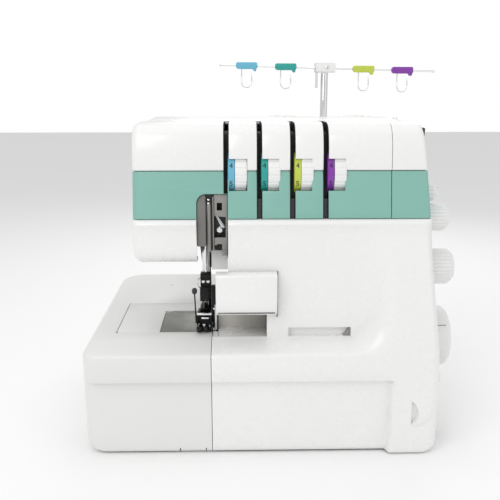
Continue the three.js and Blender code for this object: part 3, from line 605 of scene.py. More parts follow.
TABLE_LEVELS = [
    (-1.5, 8.6, -152.0, 240.0, 9, 18),
    (-1.1, 7.4, -154.0, 241.5, 10, 19),
    (0.6, 7.0, -157.6, 242.6, 11, 20),
    (0.9, 6.3, -158.4, 243.2, 11, 21),
    (4.0, 6.1, -160.8, 244.0, 12, 22),
    (9, 6.0, -162.0, 244.4, 12, 23),
    (20, 6.0, -162.6, 244.6, 12, 23),
    (50, 6.0, -162.8, 245.0, 12, 24),
    (68.2, 6.0, -162.8, 245.3, 12, 24),
    (69.3, 5.5, -162.4, 245.5, 12, 24),
    (69.5, 1.2, -161.8, 245.6, 13, 24),
    (69.9, 0.5, -161.7, 245.8, 13, 24),
    (70.9, 0.0, -161.6, 246.0, 13, 25),
    (92.4, 0.0, -161.5, 246.0, 13, 25),
    (93.9, 0.3, -161.3, 245.9, 13, 25),
    (95.0, 1.3, -160.9, 245.8, 13, 25),
    (95.9, 3.6, -160.4, 245.6, 13, 25),
    (97.6, 11.5, -159.5, 245.2, 13, 25),
    (99.4, 19.6, -158.3, 244.6, 13, 24),
    (100.7, 25.2, -157.0, 243.8, 12, 24),
    (101.35, 28.6, -155.7, 242.8, 12, 23),
    (101.6, 31.6, -154.0, 241.5, 11, 22),
]


def build_table():
    shell = loft("table", [table_ring(*level) for level in TABLE_LEVELS])
    upper = box("upper", -152, -49.6, 8, 236, 69, 90)
    lower = box("lower", -146, -49.6, 10, 238, -8, 75)
    free_arm = box("free_arm", -136.75, -40, 43.78, 130.7, 69.5, 110)
    cut(shell, upper, lower, free_arm)
    soften(shell, 0.5, 2, 60)
    shade(shell)
    coat(shell, "table_shell")
    gaps = [box("gap", x - 0.5, x + 0.5, 0, 20, -4, 2.2) for x in (-76, -52.1)]
    cut(shell, *gaps)
    coat(shell, "table_shell")
    latch = coat(box("latch", -75.3, -52.8, 10.4, 13, -1.2, 6, 0.4), "control_grey")
    hook = coat(box("hook", -136.9, -135.0, 42.6, 44.6, 101.0, 101.72, 0.2), "mark_grey")
    table = joined("extension_table_shell", [shell, latch, hook])
    done(table, None, "table", "extension_table")


SHELF = [
    (8.6, -1.5), (7.4, -1.1), (7.0, 0.6), (6.3, 0.9), (6, 4), (6, 9), (6, 16), (6, 50), (6, 68.2),
    (5.5, 69.3), (1.2, 69.5), (0.5, 69.9), (0, 70.9), (0, 82), (0, 92.6), (0.4, 94), (1.5, 95.1), (5, 96.2),
    (11, 97.6), (19, 99.6), (24, 100.9), (27.4, 101.8), (28.6, 102.6), (29, 104), (28.9, 112), (28.7, 122),
    (28.5, 134), (28.3, 148), (28.5, 162), (29, 176), (29.8, 188), (30.1, 197), (29.4, 202.6), (28.2, 205.6),
    (27.5, 207.6), (28.4, 209.7), (30.4, 211.1), (34, 211.5), (40, 211.5),
]
FOOT = [
    (2.6, -2.2), (1.0, -1.9), (0.4, -1), (0.2, 1.4), (0, 4), (0, 9), (0, 16), (0, 50), (0, 66), (0, 68),
    (0, 69.5), (0, 70.2), (0, 70.9), (0, 82), (0.2, 90), (0.6, 95), (1.4, 100), (2.6, 105.5), (4.2, 112),
    (6.4, 120), (8.8, 128.6), (10.8, 136), (12.4, 142), (14.0, 148), (15.4, 153), (17.0, 159), (18.8, 165.5),
    (20.8, 173), (22.6, 179), (24.8, 187), (26.8, 194), (28, 199), (28.2, 203), (27.8, 205.6), (27.4, 207.6),
    (28.3, 209.7), (30.4, 211.1), (34, 211.5), (40, 211.5),
]


def cover_point(x, row):
    """The looper cover's front at one place across it, before its right edge turns the corner."""
    (y0, z0), (y1, z1) = SHELF[row], FOOT[row]
    step = 112.5 + 0.03 * z0
    blend = smoothstep(step, step + 3.5, x) if row < 12 else smoothstep(78, 118, x)
    return y0 + (y1 - y0) * blend, z0 + (z1 - z0) * blend


def right_edge(z):
    """The body's right side, straight up from the pan and then tapering to the head."""
    low = max(0, 9 - (z + 2.2))
    corner = 10 - (100 - (low * 10 / 9) ** 2) ** 0.5
    return 160.2 - corner - 7.6 * smoothstep(60, 210, z) ** 0.8


def build_looper_cover():
    across = [-46.15, -38, -30.8, -20, -5, 10, 25, 40, 55, 68, 78]
    across += [78 + 2.5 * i for i in range(1, 14)] + [
        112.5, 113.4, 114.3, 115.2, 116.1, 117, 118.2, 122, 128, 134, 140, 146, 150.6
    ]
    turn = [radians(15 * i) for i in range(1, 7)]
    wrap = [0.25, 0.5, 0.75, 1]
    stretch_from, corner_reach, cover_back = 140, 9, 42

    def place(column, row):
        if column < len(across):
            x = across[column]
            y, z = cover_point(x, row)
            edge = right_edge(z)
            if x > stretch_from:
                share = (x - stretch_from) / (across[-1] - stretch_from)
                x = stretch_from + (edge - corner_reach - stretch_from) * share
            return M(x, y, z)
        y, z = cover_point(across[-1], row)
        edge = right_edge(z)
        radius = min(corner_reach, max(0.8, 41.6 - y))
        base = edge - corner_reach
        if column < len(across) + len(turn):
            angle = turn[column - len(across)]
            return M(base + corner_reach * sin(angle), min(41.9, y + radius * (1 - cos(angle))), z)
        share = wrap[column - len(across) - len(turn)]
        return M(edge, y + radius + (cover_back - y - radius) * share, z)

    shell = sheet_grid("cover", len(across) + len(turn) + len(wrap) - 1, len(SHELF) - 1, place)
    edit(shell, outward)
    if shell.data.polygons[0].normal.y > 0:
        edit(shell, lambda: bpy.ops.mesh.flip_normals())
    apply(shell, "SOLIDIFY", thickness=2.8 * MM, offset=-1, use_even_offset=True)
    left_of_column = box("left", -60, -30.8, -5, 60, 102.3, 230)
    mouth = box("mouth", -60, 4, 20, 60, 102.3, 124.6)
    grip = box("grip", 24, 81.4, 15, 45, 102.3, 110.8)
    corner = box("corner", 140, 170, 30, 50, -5, 18)
    scoop = rod("scoop", "y", 13.9, -6, 12, (126.4, 38.5), 72)
    keep(scoop, box("half", 134.6, 170, -10, 20, 20, 60))
    cut(shell, left_of_column, mouth, grip, corner, scoop)
    soften(shell, 0.5, 2, 50)
    shade(shell, 38)
    coat(shell, "white_shell")

    parts = [shell]
    parts.append(box("column_return", -30.8, -28.6, 29.4, 34.1, 124.9, 210.6, 0.4))
    pocket = box("pocket", 21.5, 83.5, 30.2, 38, 99.2, 113.4, 0.6)
    cut(pocket, box("inner", 24, 81.4, 20, 33.8, 102.1, 110.8))
    soften(pocket, 0.5, 2, 40)
    parts.append(shade(pocket))
    # Painted shade: the slanted grey triangle at the grip recess's right end stands for the recess wall lying
    # in shade.
    grip_end = prism("grip_end", [(74.4, 102.3), (81.3, 102.3), (81, 110.4)], "y", 29.6, 33.9)
    # Painted shadow: the thin beige strip along the grip recess's left edge is a shadow line, not a part.
    grip_line = box("grip_line", 24.1, 25.2, 29.6, 33.9, 102.3, 110.7)
    floor = box("chip_floor", -41, 5.8, 27, 57.8, 98.8, 101.7, 0.3)
    parts.append(floor)
    parts.append(box("front_floor", -45.9, -40, 27, 45.2, 98.8, 101.7, 0.3))
    for piece in parts[1:]:
        coat(piece, "white_shell")
    # Face grey and beige here are painted shade and shadow inside the grip recess; the recess is white
    # plastic.
    parts += [coat(grip_end, "face_grey"), coat(grip_line, "cap_beige")]
    # Painted shade: the chip chute's rear wall is white plastic in the guard's shadow, coloured spool-cap
    # beige to stand for that shade.
    chip_rear = coat(box("chip_rear", -41, 6, 56, 58, 99, 127, 0.3), "cap_beige")
    # Painted shade: the chip chute's right wall is coloured face grey to stand for white plastic in shade.
    chip_side = coat(box("chip_side", 4.2, 6.2, 31.5, 57.8, 99, 127, 0.3), "face_grey")
    # Painted shadow: a thin black strip at the chute's right front edge stands for its shadow line.
    chip_edge = coat(box("chip_edge", 3.4, 4.4, 29.2, 31.4, 102.3, 124.6), "slot_black")
    # Painted shadow: a thin dark strip at the guard's right side stands for the shade in the gap between
    # guard and cover.
    guard_edge = coat(box("guard_edge", 13, 13.8, 26.4, 29.1, 122, 165), "grey_cover")
    parts += [chip_rear, chip_side, chip_edge, guard_edge]
    bpy.ops.mesh.primitive_uv_sphere_add(segments=48, ring_count=24, radius=1, location=M(139.5, 1.2, 38.5))
    thumb = bpy.context.object
    thumb.scale = Vector((15, 3.6, 14.5)) * MM
    settle()
    cut(thumb, rod("hollow", "y", 14.3, -20, 20, (126.4, 38.5), 72), box("back", 100, 180, 2.4, 30, 0, 80))
    soften(thumb, 0.5, 3, 50)
    add(parts, "white_shell", shade(thumb))
    pad = rod("pad", "y", 13.6, 2.6, 4.6, (128, 38.5), 64)
    add(parts, "white_shell", pad)
    bump = prism(
        "bump", [(159.2, 61), (161.6, 62.4), (162.5, 65), (162.5, 71), (161.6, 73.6), (159.2, 75)], "y", 11,
        25, 0.8,
    )
    add(parts, "white_shell", bump)
    cover = joined("looper_cover_shell", parts)
    done(cover, None, "front_cover", "looper_cover")

    outline = [(26.6, 165.4), (17.4, 165.2), (15.6, 164.8), (14.6, 164), (14.1, 162.8), (14, 161), (14, 142)]
    outline += curved((14, 138), (14.4, 126.8), (25.4, 124.8), 8)
    guard = prism("guard", outline, "x", -42, 12.6, 0.4, 2, 40)
    cut(guard, box("hollow", -40.4, 11, 16.4, 40, 128, 162.6))
    done(guard, "white_shell", "front_cover", "knife_guard")


# ---------------------------------------------------------------- head
LEFT_BAND_END = -31.2
FACE_TOP = 233.6
SLOT_LOW = 204
FIRST_WINDOW_EXTRA = 1.3


def slot_half():
    return bpy.context.scene.overlock_sizes.slot_width / MM / 2


def slot_cutters(places):
    """Cutters for the slots; the first slot ends above the opening in front of the needle bar."""
    half = slot_half()
    lows = [SLOT_LOW if x > LEFT_BAND_END else FACE_TOP for x in places]
    return [box("slot", x - half, x + half, 20, 100, low, 305) for x, low in zip(places, lows)]


def window_cutters(places):
    """Cutters for the windows beside the slots, which the dials look through."""
    half = slot_half()
    widths = [14.9 if x > LEFT_BAND_END else 14.9 + FIRST_WINDOW_EXTRA for x in places]
    return [
        box("window", x + half - 0.2, x + half + width, 20, 62, 236, 264.2)
        for x, width in zip(places, widths)
    ]


def build_head():
    places = slot_places()
    hollow_upper = head_block("inner", -112.8, 130, inset(UPPER_FRONT, 3), 250, 140)
    upper = head_block("upper", -116, 114.8, UPPER_FRONT, 253.6, 130, 7.5)
    cut(upper, hollow_upper, *slot_cutters(places), *window_cutters(places))
    soften(upper, 0.4, 2, 50)
    done(shade(upper), "white_shell", "base", "upper_front_cover")

    face_cut = prism("face", face_outline(LEFT_BAND_END, FACE_TOP), "y", 10, 70)
    left_band = head_block("left_band", -116, LEFT_BAND_END, BAND_FRONT, LIP_Z, 130, 7.5)
    cut(
        left_band,
        head_block("inner", -113, -20, inset(BAND_FRONT, 3), 205, 140),
        face_cut,
        *slot_cutters(places[:1]),
    )
    soften(left_band, 0.35, 2, 50)
    done(shade(left_band), "green_band", "base", "green_band_left")

    middle = head_block("middle_band", -30.9, 114.7, BAND_FRONT, LIP_Z, 43.2)
    cut(
        middle,
        head_block("inner", -40, 130, inset(BAND_FRONT, 3), 205, 60),
        *slot_cutters(places[1:]),
        *window_cutters(places),
    )
    soften(middle, 0.35, 2, 50)
    done(shade(middle), "green_band", "base", "green_band_middle")

    upper_lean, band_lean = 0.12, 0.07
    end = head_block("right_upper", 115.3, 153.2, UPPER_FRONT, 253.6, 130, 0, upper_lean, 5)
    cut(end, head_block("inner", 100, 150, inset(UPPER_FRONT, 3), 250, 140, 0, upper_lean))
    soften(end, 0.4, 2, 50)
    band = head_block("right_band", 115.3, 151, BAND_FRONT, LIP_Z, 130, 0, band_lean, 4)
    cut(band, head_block("inner", 100, 148, inset(BAND_FRONT, 3), 205, 140, 0, band_lean))
    soften(band, 0.35, 2, 50)
    for piece, look in ((end, "white_shell"), (band, "green_band")):
        coat(shade(piece), look)
    right_end = joined("right_end_shell", [end, band])
    done(right_end, None, "base", "right_end_cover")

    arm = head_block("arm_lower", -116, -31.3, LIP_FRONT, 211.5, 130, 7.5)
    cut(
        arm,
        head_block("inner", -113, -20, inset(LIP_FRONT, 3), 230, 140),
        prism("face", face_outline(-30.5, 240), "y", 10, 56),
        box("mouth", -63, -42, 50, 127.4, 165, 180),
    )
    soften(arm, 0.4, 2, 50)
    done(shade(arm, 38), "white_shell", "base", "arm_lower_cover")

    for index, x in enumerate(places):
        build_slot_liner(index, x)


def face_outline(right, top):
    """The opening in front of the needle bar, in X and Z, with its upper left corner rounded."""
    return [(-58.9, 170), (right, 170), (right, top)] + arc(-50.9, top - 8, 8, 90, 180, 6)


def build_slot_liner(index, x):
    """A thread slot's dark channel, following the head from the lip over to its top."""
    front = BAND_FRONT[:-1] + UPPER_FRONT[4:-1]
    outer = [(y, z) for y, z, _, _ in inset(front, 0.35) if z > 213.4]
    deep = [(y, z) for y, z, _, _ in inset(front, 11) if z > 210]
    floor = [(y, z) for y, z, _, _ in inset(front, 9) if z > 210]
    outer = [(33.0, 212.2)] + outer + [(99, 293.2)]
    half = slot_half()
    low_end = 212.2 if index else FACE_TOP + 0.2
    walls = [
        prism("wall", outer + [(99, 283)] + deep[::-1] + [(44, 212.2)], "x", low, high)
        for low, high in ((x - half + 0.05, x - half + 0.65), (x + half - 0.65, x + half - 0.05))
    ]
    cut(walls[1], box("window", x, x + 5, 20, 90, 228, 272))
    base = prism(
        "floor", [(42, 212.2)] + floor + [(99, 285), (99, 283)] + deep[::-1] + [(44.5, 212.2)], "x",
        x - half + 0.1, x + half - 0.1,
    )
    pieces = [*walls, base]
    if index == 0:
        for piece in pieces:
            cut(piece, box("below", x - 8, x + 8, 20, 100, 200, low_end))
    for piece in pieces:
        coat(piece, "slot_black")
    if index:
        foot = prism(
            "foot", [(34.6, 212.4), (38.2, 229), (43, 229), (43, 212.4)], "x", x - half + 0.7, x + half - 0.7,
            0.2,
        )
        pieces.append(coat(foot, "dark_plastic"))
    done(joined(f"thread_slot_{index + 1}", pieces), None, "base")


# ---------------------------------------------------------------- numerals
def numeral(text, size, look, place, turn=(pi / 2, 0, 0)):
    """A raised printed mark."""
    deselect()
    bpy.ops.object.text_add(location=M(*place), rotation=turn)
    mark = bpy.context.object
    mark.data.body = text
    mark.data.size = size * MM
    mark.data.extrude = MARK_HEIGHT * MM
    mark.data.align_x = "CENTER"
    mark.data.align_y = "CENTER"
    bpy.ops.object.convert(target="MESH")
    mark = bpy.context.object
    settle()
    return coat(mark, look)


def round_x(piece, degrees, y, z):
    """Turns the piece about a line along X."""
    pick(piece)
    bpy.ops.object.mode_set(mode="EDIT")
    bpy.ops.mesh.select_all(action="SELECT")
    bpy.ops.transform.rotate(
        value=radians(degrees), orient_axis="X", orient_type="GLOBAL", center_override=M(0, y, z)
    )
    bpy.ops.object.mode_set(mode="OBJECT")
    return piece


# ---------------------------------------------------------------- dials
def wheel_dent(column, row):
    """The grooves round a tension wheel."""
    return -0.5 if column % 9 in (0, 1) and row in (2, 3, 4, 5) else 0


def build_dials():
    low, high = mm_box("tension_dial_1")
    y, z = (low.y + high.y) / 2, (low.z + high.z) / 2
    radius = (high.y - low.y) / 2
    for index, look in enumerate(SPOOL_SLOTS):
        node = f"tension_dial_{index + 1}"
        x0 = mm_box(node)[0].x
        rim = [
            (3.4, x0), (radius - 1.2, x0), (radius - 0.3, x0 + 0.5), (radius - 0.3, x0 + 5.9),
            (radius - 1.2, x0 + 6.1), (3.4, x0 + 6.1),
        ]
        coloured = coat(turned("rim", rim + [rim[0]], "x", (y, z), 72), look)
        wheel = [
            (3.4, x0 + 6.2), (radius - 1.4, x0 + 6.2), (radius - 0.2, x0 + 6.5), (radius, x0 + 7.2),
            (radius, x0 + 16.2), (radius - 0.8, x0 + 17.1), (3.4, x0 + 17.1),
        ]
        teeth = turned("wheel", wheel + [wheel[0]], "x", (y, z), 180, wheel_dent)
        coat(shade(teeth, 25), "control_grey")
        marks = []
        for step, text in enumerate("5432N987"):
            mark = numeral(text, 6.6, "slot_black", (x0 + 3.0, y - radius + 0.22, z))
            marks.append(round_x(mark, 45 * step - 22, y, z))
        done(joined(f"tension_wheel_{index + 1}", [coloured, teeth, *marks]), None, f"dial_{index + 1}", node)
    axle = rod("axle", "x", 2.9, -33, 88, (y, z), 24)
    done(axle, "steel", "base")


# ---------------------------------------------------------------- controls on the right
def knob_dent(column, row):
    """The finger grooves round a knob's rim."""
    return -0.8 if column % 6 in (0, 1) and row in (4, 5, 6) else 0


def build_controls():
    for node, body, teeth, radius, marks in (
        ("stitch_length_dial", "length_dial", 30, 17, "12345"),
        ("differential_feed_knob", "feed_dial", 24, 13, "12"),
        ("cutting_width_knob", "width_dial", 14, 8, ""),
    ):
        low, high = mm_box(node)
        centre = ((low.y + high.y) / 2, (low.z + high.z) / 2)
        start, end = low.x, high.x
        profile = [
            (0, start), (radius * 0.72, start), (radius * 0.72, start + 2.2), (radius - 1, start + 2.2),
            (radius, start + 3.2), (radius, end - 6), (radius - 0.4, end - 4.6), (radius - 2.4, end - 2),
            (radius - 4, end - 0.4), (radius - 5.5, end), (radius - 6.5, end - 0.5), (0, end - 0.5),
        ]
        knob = coat(shade(turned("knob", profile, "x", centre, teeth * 6, knob_dent), 28), "control_grey")
        pointer = coat(
            box(
                "pointer", end - 0.6, end - 0.1, centre[0] - 0.6, centre[0] + 0.6, centre[1] + 1,
                centre[1] + radius * 0.55,
            ),
            "mark_grey",
        )
        done(joined(node + "_finished", [knob, pointer]), None, body, node)
        collar_x = start - 4.6
        collar = turned(
            "collar",
            [(0, collar_x), (radius * 0.95, collar_x), (radius * 0.9, start - 0.2), (0, start - 0.2)], "x",
            centre, 48,
        )
        done(collar, "white_shell", "base")
        for step, text in enumerate(marks):
            angle = radians(150 - step * 30)
            spot = (
                start - 0.9, centre[0] + (radius + 4.5) * cos(angle), centre[1] + (radius + 4.5) * sin(angle)
            )
            if node.startswith("stitch"):
                done(numeral(text, 5, "mark_grey", spot, (pi / 2, 0, pi / 2)), None, "base")

    low, high = mm_box("handwheel")
    y, z = 90, 79
    start, end = low.x, high.x
    profile = [
        (5.4, start), (24, start), (28, start + 1.4), (29.6, start + 3.4), (30, start + 5), (30, end - 9),
        (29.4, end - 6.5), (27.6, end - 4.4), (25, end - 3.2), (22, end - 2.6), (20.5, end - 3.4),
        (19, end - 6), (12, end - 6.4), (11, end - 5), (10.2, end - 0.6), (9.4, end), (5.4, end),
    ]
    wheel = coat(shade(turned("wheel", profile + [profile[0]], "x", (y, z), 120), 30), "control_grey")
    index_line = coat(box("index_line", start + 4, end - 9, 66.5, 68.5, 97.5, 98.2), "mark_grey")
    assembled("handwheel", wheel, index_line)

    rocker = refined("power_switch", 0.6)
    done(rocker, "dark_plastic", "switch", "power_switch")
    frame_outline = [(42.4, 38.4), (58.6, 38.4), (58.6, 61.6), (42.4, 61.6)]
    bezel = prism("bezel", frame_outline, "x", 159.6, 161.2, 0.5)
    cut(bezel, box("hole", 150, 170, 44.0, 57, 40, 60))
    done(shade(bezel), "dark_plastic", "base")
    inlet = refined("power_inlet", 0.5)
    pins = [coat(rod("pin", "x", 1.3, 153.5, 158.8, (161.5 + dy, 33), 16, 0.4), "chrome") for dy in (-5, 5)]
    coat(inlet, "dark_plastic")
    assembled("power_inlet", inlet, *pins)


# ---------------------------------------------------------------- thread stand
POLE_X, POLE_Y = 76.6, 228
PIN_Y, PIN_PITCH = 252, 43.8
CAPPED_PINS = (1, 2)


def bar_height(x):
    """The guide bar's height, which falls a little to the right."""
    return 345.3 - (x - POLE_X) * 0.028


def build_thread_stand():
    stand = refined("spool_stand", 0.8, 3)
    centres = [POLE_X + n * PIN_PITCH for n in (-2, -1, 1, 2)]
    parts = [coat(stand, "control_grey")]
    for index, x in enumerate(centres):
        profile = [(4, 162), (20, 162), (20.4, 163), (19, 164.6), (6, 165.2), (4, 165), (4, 162)]
        add(parts, "dark_plastic", turned("cushion", profile, "z", (x, PIN_Y), 64))
        if index in CAPPED_PINS:
            profile = [
                (0, 291), (6, 291.2), (16, 291.2), (18.4, 290.4), (18.8, 288.6), (18.4, 286.4), (0, 286.4)
            ]
            add(parts, "cap_beige", turned("cap", profile, "z", (x, PIN_Y), 56))
        else:
            profile = [(0, 290), (2.2, 289.6), (3.2, 288), (3.3, 285), (0, 285)]
            add(parts, "control_grey", turned("tip", profile, "z", (x, PIN_Y), 24))
    for dx in (-26, 26):
        add(parts, "chrome", screw("screw", "z", (POLE_X + dx, 240, 155.0), 3, 1.6))
    assembled("spool_stand", *parts)

    tube = refined("antenna_tube", 0.5)
    collar = turned(
        "collar", [(4.4, 250), (6.6, 250), (7, 250.6), (7, 254), (6.2, 255), (4.4, 255), (4.4, 250)], "z",
        (POLE_X, POLE_Y), 48,
    )
    assembled("antenna_tube", coat(tube, "chrome"), coat(collar, "control_grey"))

    pole = refined("antenna_rod", 0.4)
    holes = [rod("hole", "y", 1.1, 220, 225.4, (POLE_X, height), 20) for height in (262, 286, 310, 328)]
    cut(pole, *holes)
    done(shade(pole), "chrome", "antenna", "antenna_rod")

    bar = refined("guide_bar", 0.4, 2)
    tips = []
    for x in (-40.4, 199.6):
        z = bar_height(x)
        tips.append(coat(bead("tip", x, (1.5, 1.9), (1.2, 1.6), "x", (POLE_Y, z)), "control_grey"))
    fixing = coat(screw("fixing", "y", (79, 223, 345.6), 2.4, 1.2, -1), "chrome")
    plate = coat(box("bracket", 65.8, 88.4, 222.8, 233.2, 340.4, 351, 1.4, 3), "control_grey")
    assembled("guide_bar", coat(bar, "chrome"), plate, fixing, *tips)

    for index, x in enumerate(centres):
        z = bar_height(x)
        outline = [
            (x - 12, z - 1.2), (x - 10.4, z - 3.4), (x - 6.6, z - 3.7), (x + 7, z - 3.7), (x + 8.4, z - 6.2),
            (x + 10.6, z - 6.2), (x + 11, z - 3.6), (x + 12, z - 2.4), (x + 12, z + 2.4), (x + 11, z + 3.6),
            (x - 10.6, z + 3.7), (x - 12, z + 2.2),
        ]
        clip = prism("clip", outline, "y", 224.6, 231.4, 0.8, 3)
        coat(clip, SPOOL_SLOTS[index])
        loop = wire(
            "loop",
            [
                (x - 5.4, POLE_Y, z - 2), (x - 5.5, 227.4, z - 12), (x - 5.3, 226.2, z - 19.5),
                (x - 3.2, 225.6, z - 22.8), (x, 225.4, z - 23.6), (x + 3.2, 225.6, z - 22.8),
                (x + 5.3, 226.2, z - 19.5), (x + 5.5, 227.2, z - 10), (x + 5.2, 227.8, z - 8.4),
            ],
            0.62,
            resolution=6,
        )
        coat(loop, "chrome")
        done(
            joined(f"thread_guide_{index + 1}_finished", [clip, loop]), None, "antenna",
            f"thread_guide_{index + 1}",
        )


# ---------------------------------------------------------------- face of the needle head
def build_face():
    shape = [(-58.5, 186.6), (-50.8, 186.6), (-50.8, 233)] + arc(-51, 225.5, 7.5, 90, 180, 7)
    cover = prism("cover", shape, "y", 28, 45)
    front = [
        (50, 180), (34.2, 180), (33.4, 196), (33.6, 206), (35.2, 218), (38.4, 230), (40.2, 240), (50, 240)
    ]
    keep(cover, prism("front", front, "x", -70, -40))
    soften(cover, 1.6, 4, 40)
    coat(shade(cover), "grey_cover")
    edge = coat(box("edge", -50.9, -50.1, 37, 44, 186.6, 230, 0.2), "dark_plastic")
    channel = coat(box("channel", -50.2, -43.4, 41.5, 43.6, 181.2, 231, 0.3), "grey_cover")
    cap = coat(box("cap", -51.4, -44.2, 38.6, 45, 229.6, 233.2, 0.3), "slot_black")
    ridge = coat(box("ridge", -44.6, -43.7, 37.2, 42, 181.2, 231, 0.25), "face_grey")
    shade_gap = coat(box("shade_gap", -47.0, -45.2, 39.8, 42, 181.2, 230, 0.2), "dark_plastic")
    post = coat(rod("post", "z", 1.9, 180.4, 224.6, (-48.2, 39.2), 24, 0.5), "face_grey")
    eyes = [coat(bead("eye", z, (1.3, 1.6), (0.7, 1), "z", (-48.2, 38.4)), "chrome") for z in (225.2, 228.4)]
    assembled("takeup_cover", cover, edge, channel, cap, ridge, shade_gap, post, *eyes)

    plate = box("plate", -43.4, -31.2, 38.6, 41.4, 182.4, 233)
    cut(
        plate,
        box("square", -40.8, -36.1, 30, 50, 218.4, 225.4),
        prism("pocket", [(-45, 193.6), (-33.0, 193.6), (-33.0, 212.4), (-45, 213.6)], "y", 30, 50),
        prism("notch", [(-40.9, 170), (-36.4, 170), (-36.4, 187.6), (-40.9, 187.6)], "y", 30, 50),
        box("lower_left", -45, -40.8, 30, 50, 170, 186.6),
    )
    soften(plate, 0.35, 2, 40)
    parts = [coat(shade(plate), "face_grey")]
    parts += blocks(
        ("face_grey", "tab", -36.3, -31.5, 39.4, 41.2, 176.6, 184, 0.3),
        ("slot_black", "dark_back", -43.4, -31.6, 46.8, 48, 180, 234, 0.2),
        ("dark_plastic", "pocket_floor", -43.2, -33.2, 44.2, 46.6, 190, 214.5, 0.3),
        ("slot_black", "hole_back", -41.2, -35.6, 43.4, 44.6, 181, 189, 0.2),
    )
    lever = [(-42.4, 213.6), (-40.8, 214.2), (-33.6, 203.4), (-34.4, 201.6), (-37.4, 203)]
    add(parts, "steel", prism("lever", lever, "y", 41.6, 43, 0.3))
    add(parts, "chrome", screw("screw", "y", (-38.6, 43.2, 200.2), 3.3, 2.2, -1))
    add(parts, "black_steel", box("block", -42.8, -33.6, 42.6, 44.4, 194, 197, 0.3))
    assembled("face_plate", *parts)
    liner = box("liner", -46.6, -31.6, 52, 53.6, 160.2, 186, 0.3)
    done(liner, "control_grey", "base")
    bracket = [(-60, 187.5), (-47.5, 187.5), (-47.5, 153), (-55, 153), (-57, 158), (-58.5, 172)]
    done(prism("bracket", bracket, "y", 86, 90, 0.6), "dark_plastic", "base")


# ---------------------------------------------------------------- needles and presser foot
def build_needles():
    block = box("block", -57.7, -47.5, 58.2, 68.8, 129.4, 154, 0.7)
    cut(
        block,
        box("step", -60, -40, 50, 60.6, 141.6, 150.6),
        rod("groove", "z", 1.2, 120, 143, (-55.2, 58.2), 16),
    )
    parts = [coat(shade(soften(block, 0.3, 2, 40)), "black_steel")]
    add(parts, "black_steel", box("guard", -58.2, -49.6, 56.4, 58.4, 127.6, 141.4, 0.5))
    add(parts, "chrome", screw("screw", "y", (-55.0, 60.6, 146), 1.7, 1.1, -1))
    add(parts, "chrome", screw("screw", "y", (-50.4, 60.6, 146), 1.7, 1.1, -1))
    add(
        parts,
        "chrome",
        wire(
            "thread_wire", [(-57.4, 60, 150), (-59.8, 57, 148.6), (-59.6, 55.6, 143), (-57.8, 57.2, 141)],
            0.45,
        ),
    )
    assembled("needle_clamp", *parts)

    sole = [
        (38, 106.1), (42, 102.6), (44, 102), (90, 102), (90, 104.6), (44.6, 105), (42.4, 105.8), (40, 108.1)
    ]
    sole = prism("sole", sole, "x", -61, -47.4)
    cut(
        sole,
        box("needle_slot", -57.8, -49.2, 59.5, 67.5, 98, 112),
        box("fork", -56.2, -53.6, 30, 60, 98, 112),
        box("fork", -50.6, -49.2, 30, 60, 98, 112),
        box("edge", -48.6, -46, 30, 46, 98, 112),
    )
    soften(sole, 0.35, 2, 30)
    parts = [coat(shade(sole), "black_steel")]
    for x0, x1 in ((-60.9, -59.5), (-48.9, -47.5)):
        cheek = prism(
            "cheek", [(52, 104.4), (74, 104.4), (76, 114.6), (60, 113.8), (47.5, 112), (45.8, 109)], "x", x0,
            x1, 0.3,
        )
        add(parts, "black_steel", cheek)
    parts += blocks(
        ("chrome", "crossbar", -60.8, -46.9, 45.4, 47.4, 117.4, 119.3, 0.4),
        ("chrome", "lower_bar", -56.6, -49.6, 44.6, 46.6, 113.9, 115.6, 0.4),
    )
    for x in (-60.4, -47.6):
        add(
            parts, "black_steel",
            wire("arm", [(x, 46.4, 118.2), (x, 45.2, 113), (x, 47, 108.4), (x, 51, 105.2)], 0.75),
        )
    parts += blocks(
        ("black_steel", "front_plate", -59.3, -48.9, 48.4, 50.4, 104.8, 117.4, 0.4),
        ("chrome", "toe_screw", -55.8, -52.6, 47, 48.6, 105.2, 108.2, 0.5),
        ("steel", "toe_left", -60.2, -58.4, 46.4, 48.4, 105, 109, 0.4),
        ("steel", "toe_right", -49.8, -48.4, 46.4, 48.4, 104.6, 107.4, 0.4),
        ("black_steel", "ankle", -57.1, -48.1, 74, 86, 104.4, 128, 0.8),
        ("black_steel", "shoulder", -59.2, -48.1, 71, 88, 104.4, 115.6, 0.8),
    )
    add(parts, "chrome", screw("screw", "y", (-52.6, 74, 122), 2.2, 1.4, -1))
    add(
        parts, "black_steel",
        wire("lifter_wire", [(-61.9, 50, 111), (-62.0, 48, 118), (-62.3, 47.2, 128), (-62.7, 47, 138)], 0.65),
    )
    ball = turned(
        "ball", [(0, 137.6), (1.5, 138), (2.4, 139.6), (2.6, 141), (2.2, 142.6), (1.2, 143.6), (0, 143.9)],
        "z", (-62.7, 47), 28,
    )
    add(parts, "dark_plastic", ball)
    add(parts, "black_steel", box("wire_foot", -62.6, -60.2, 49, 53, 108.4, 111.6, 0.5))
    assembled("presser_foot", *parts)

    blade = refined("upper_knife", 0.25)
    holder = coat(box("holder", -47.1, -42.3, 52.4, 60.4, 108, 143.2, 0.6), "black_steel")
    arm = coat(box("arm", -46.3, -38.4, 60.2, 68.6, 112, 126.6, 0.8), "black_steel")
    pins = [coat(screw("pin", "y", (x, 52.5, 121.4), 1.3, 0.9, -1), "chrome") for x in (-44.6,)]
    assembled("upper_knife", coat(blade, "steel"), holder, arm, *pins)

    plate = refined("needle_plate", 0.25)
    marks = [
        coat(box("mark", x, x + 0.7, y, y + 2.6, 101.5, 101.66), "mark_grey")
        for y in (49, 98) for x in (-84, -81, -78)
    ]
    ruler = [
        coat(box("line", -90 + 2.6 * i, -89.7 + 2.6 * i, 70, 74, 101.5, 101.63), "mark_grey")
        for i in range(5)
    ]
    assembled("needle_plate", coat(plate, "plate_steel"), *marks, *ruler)


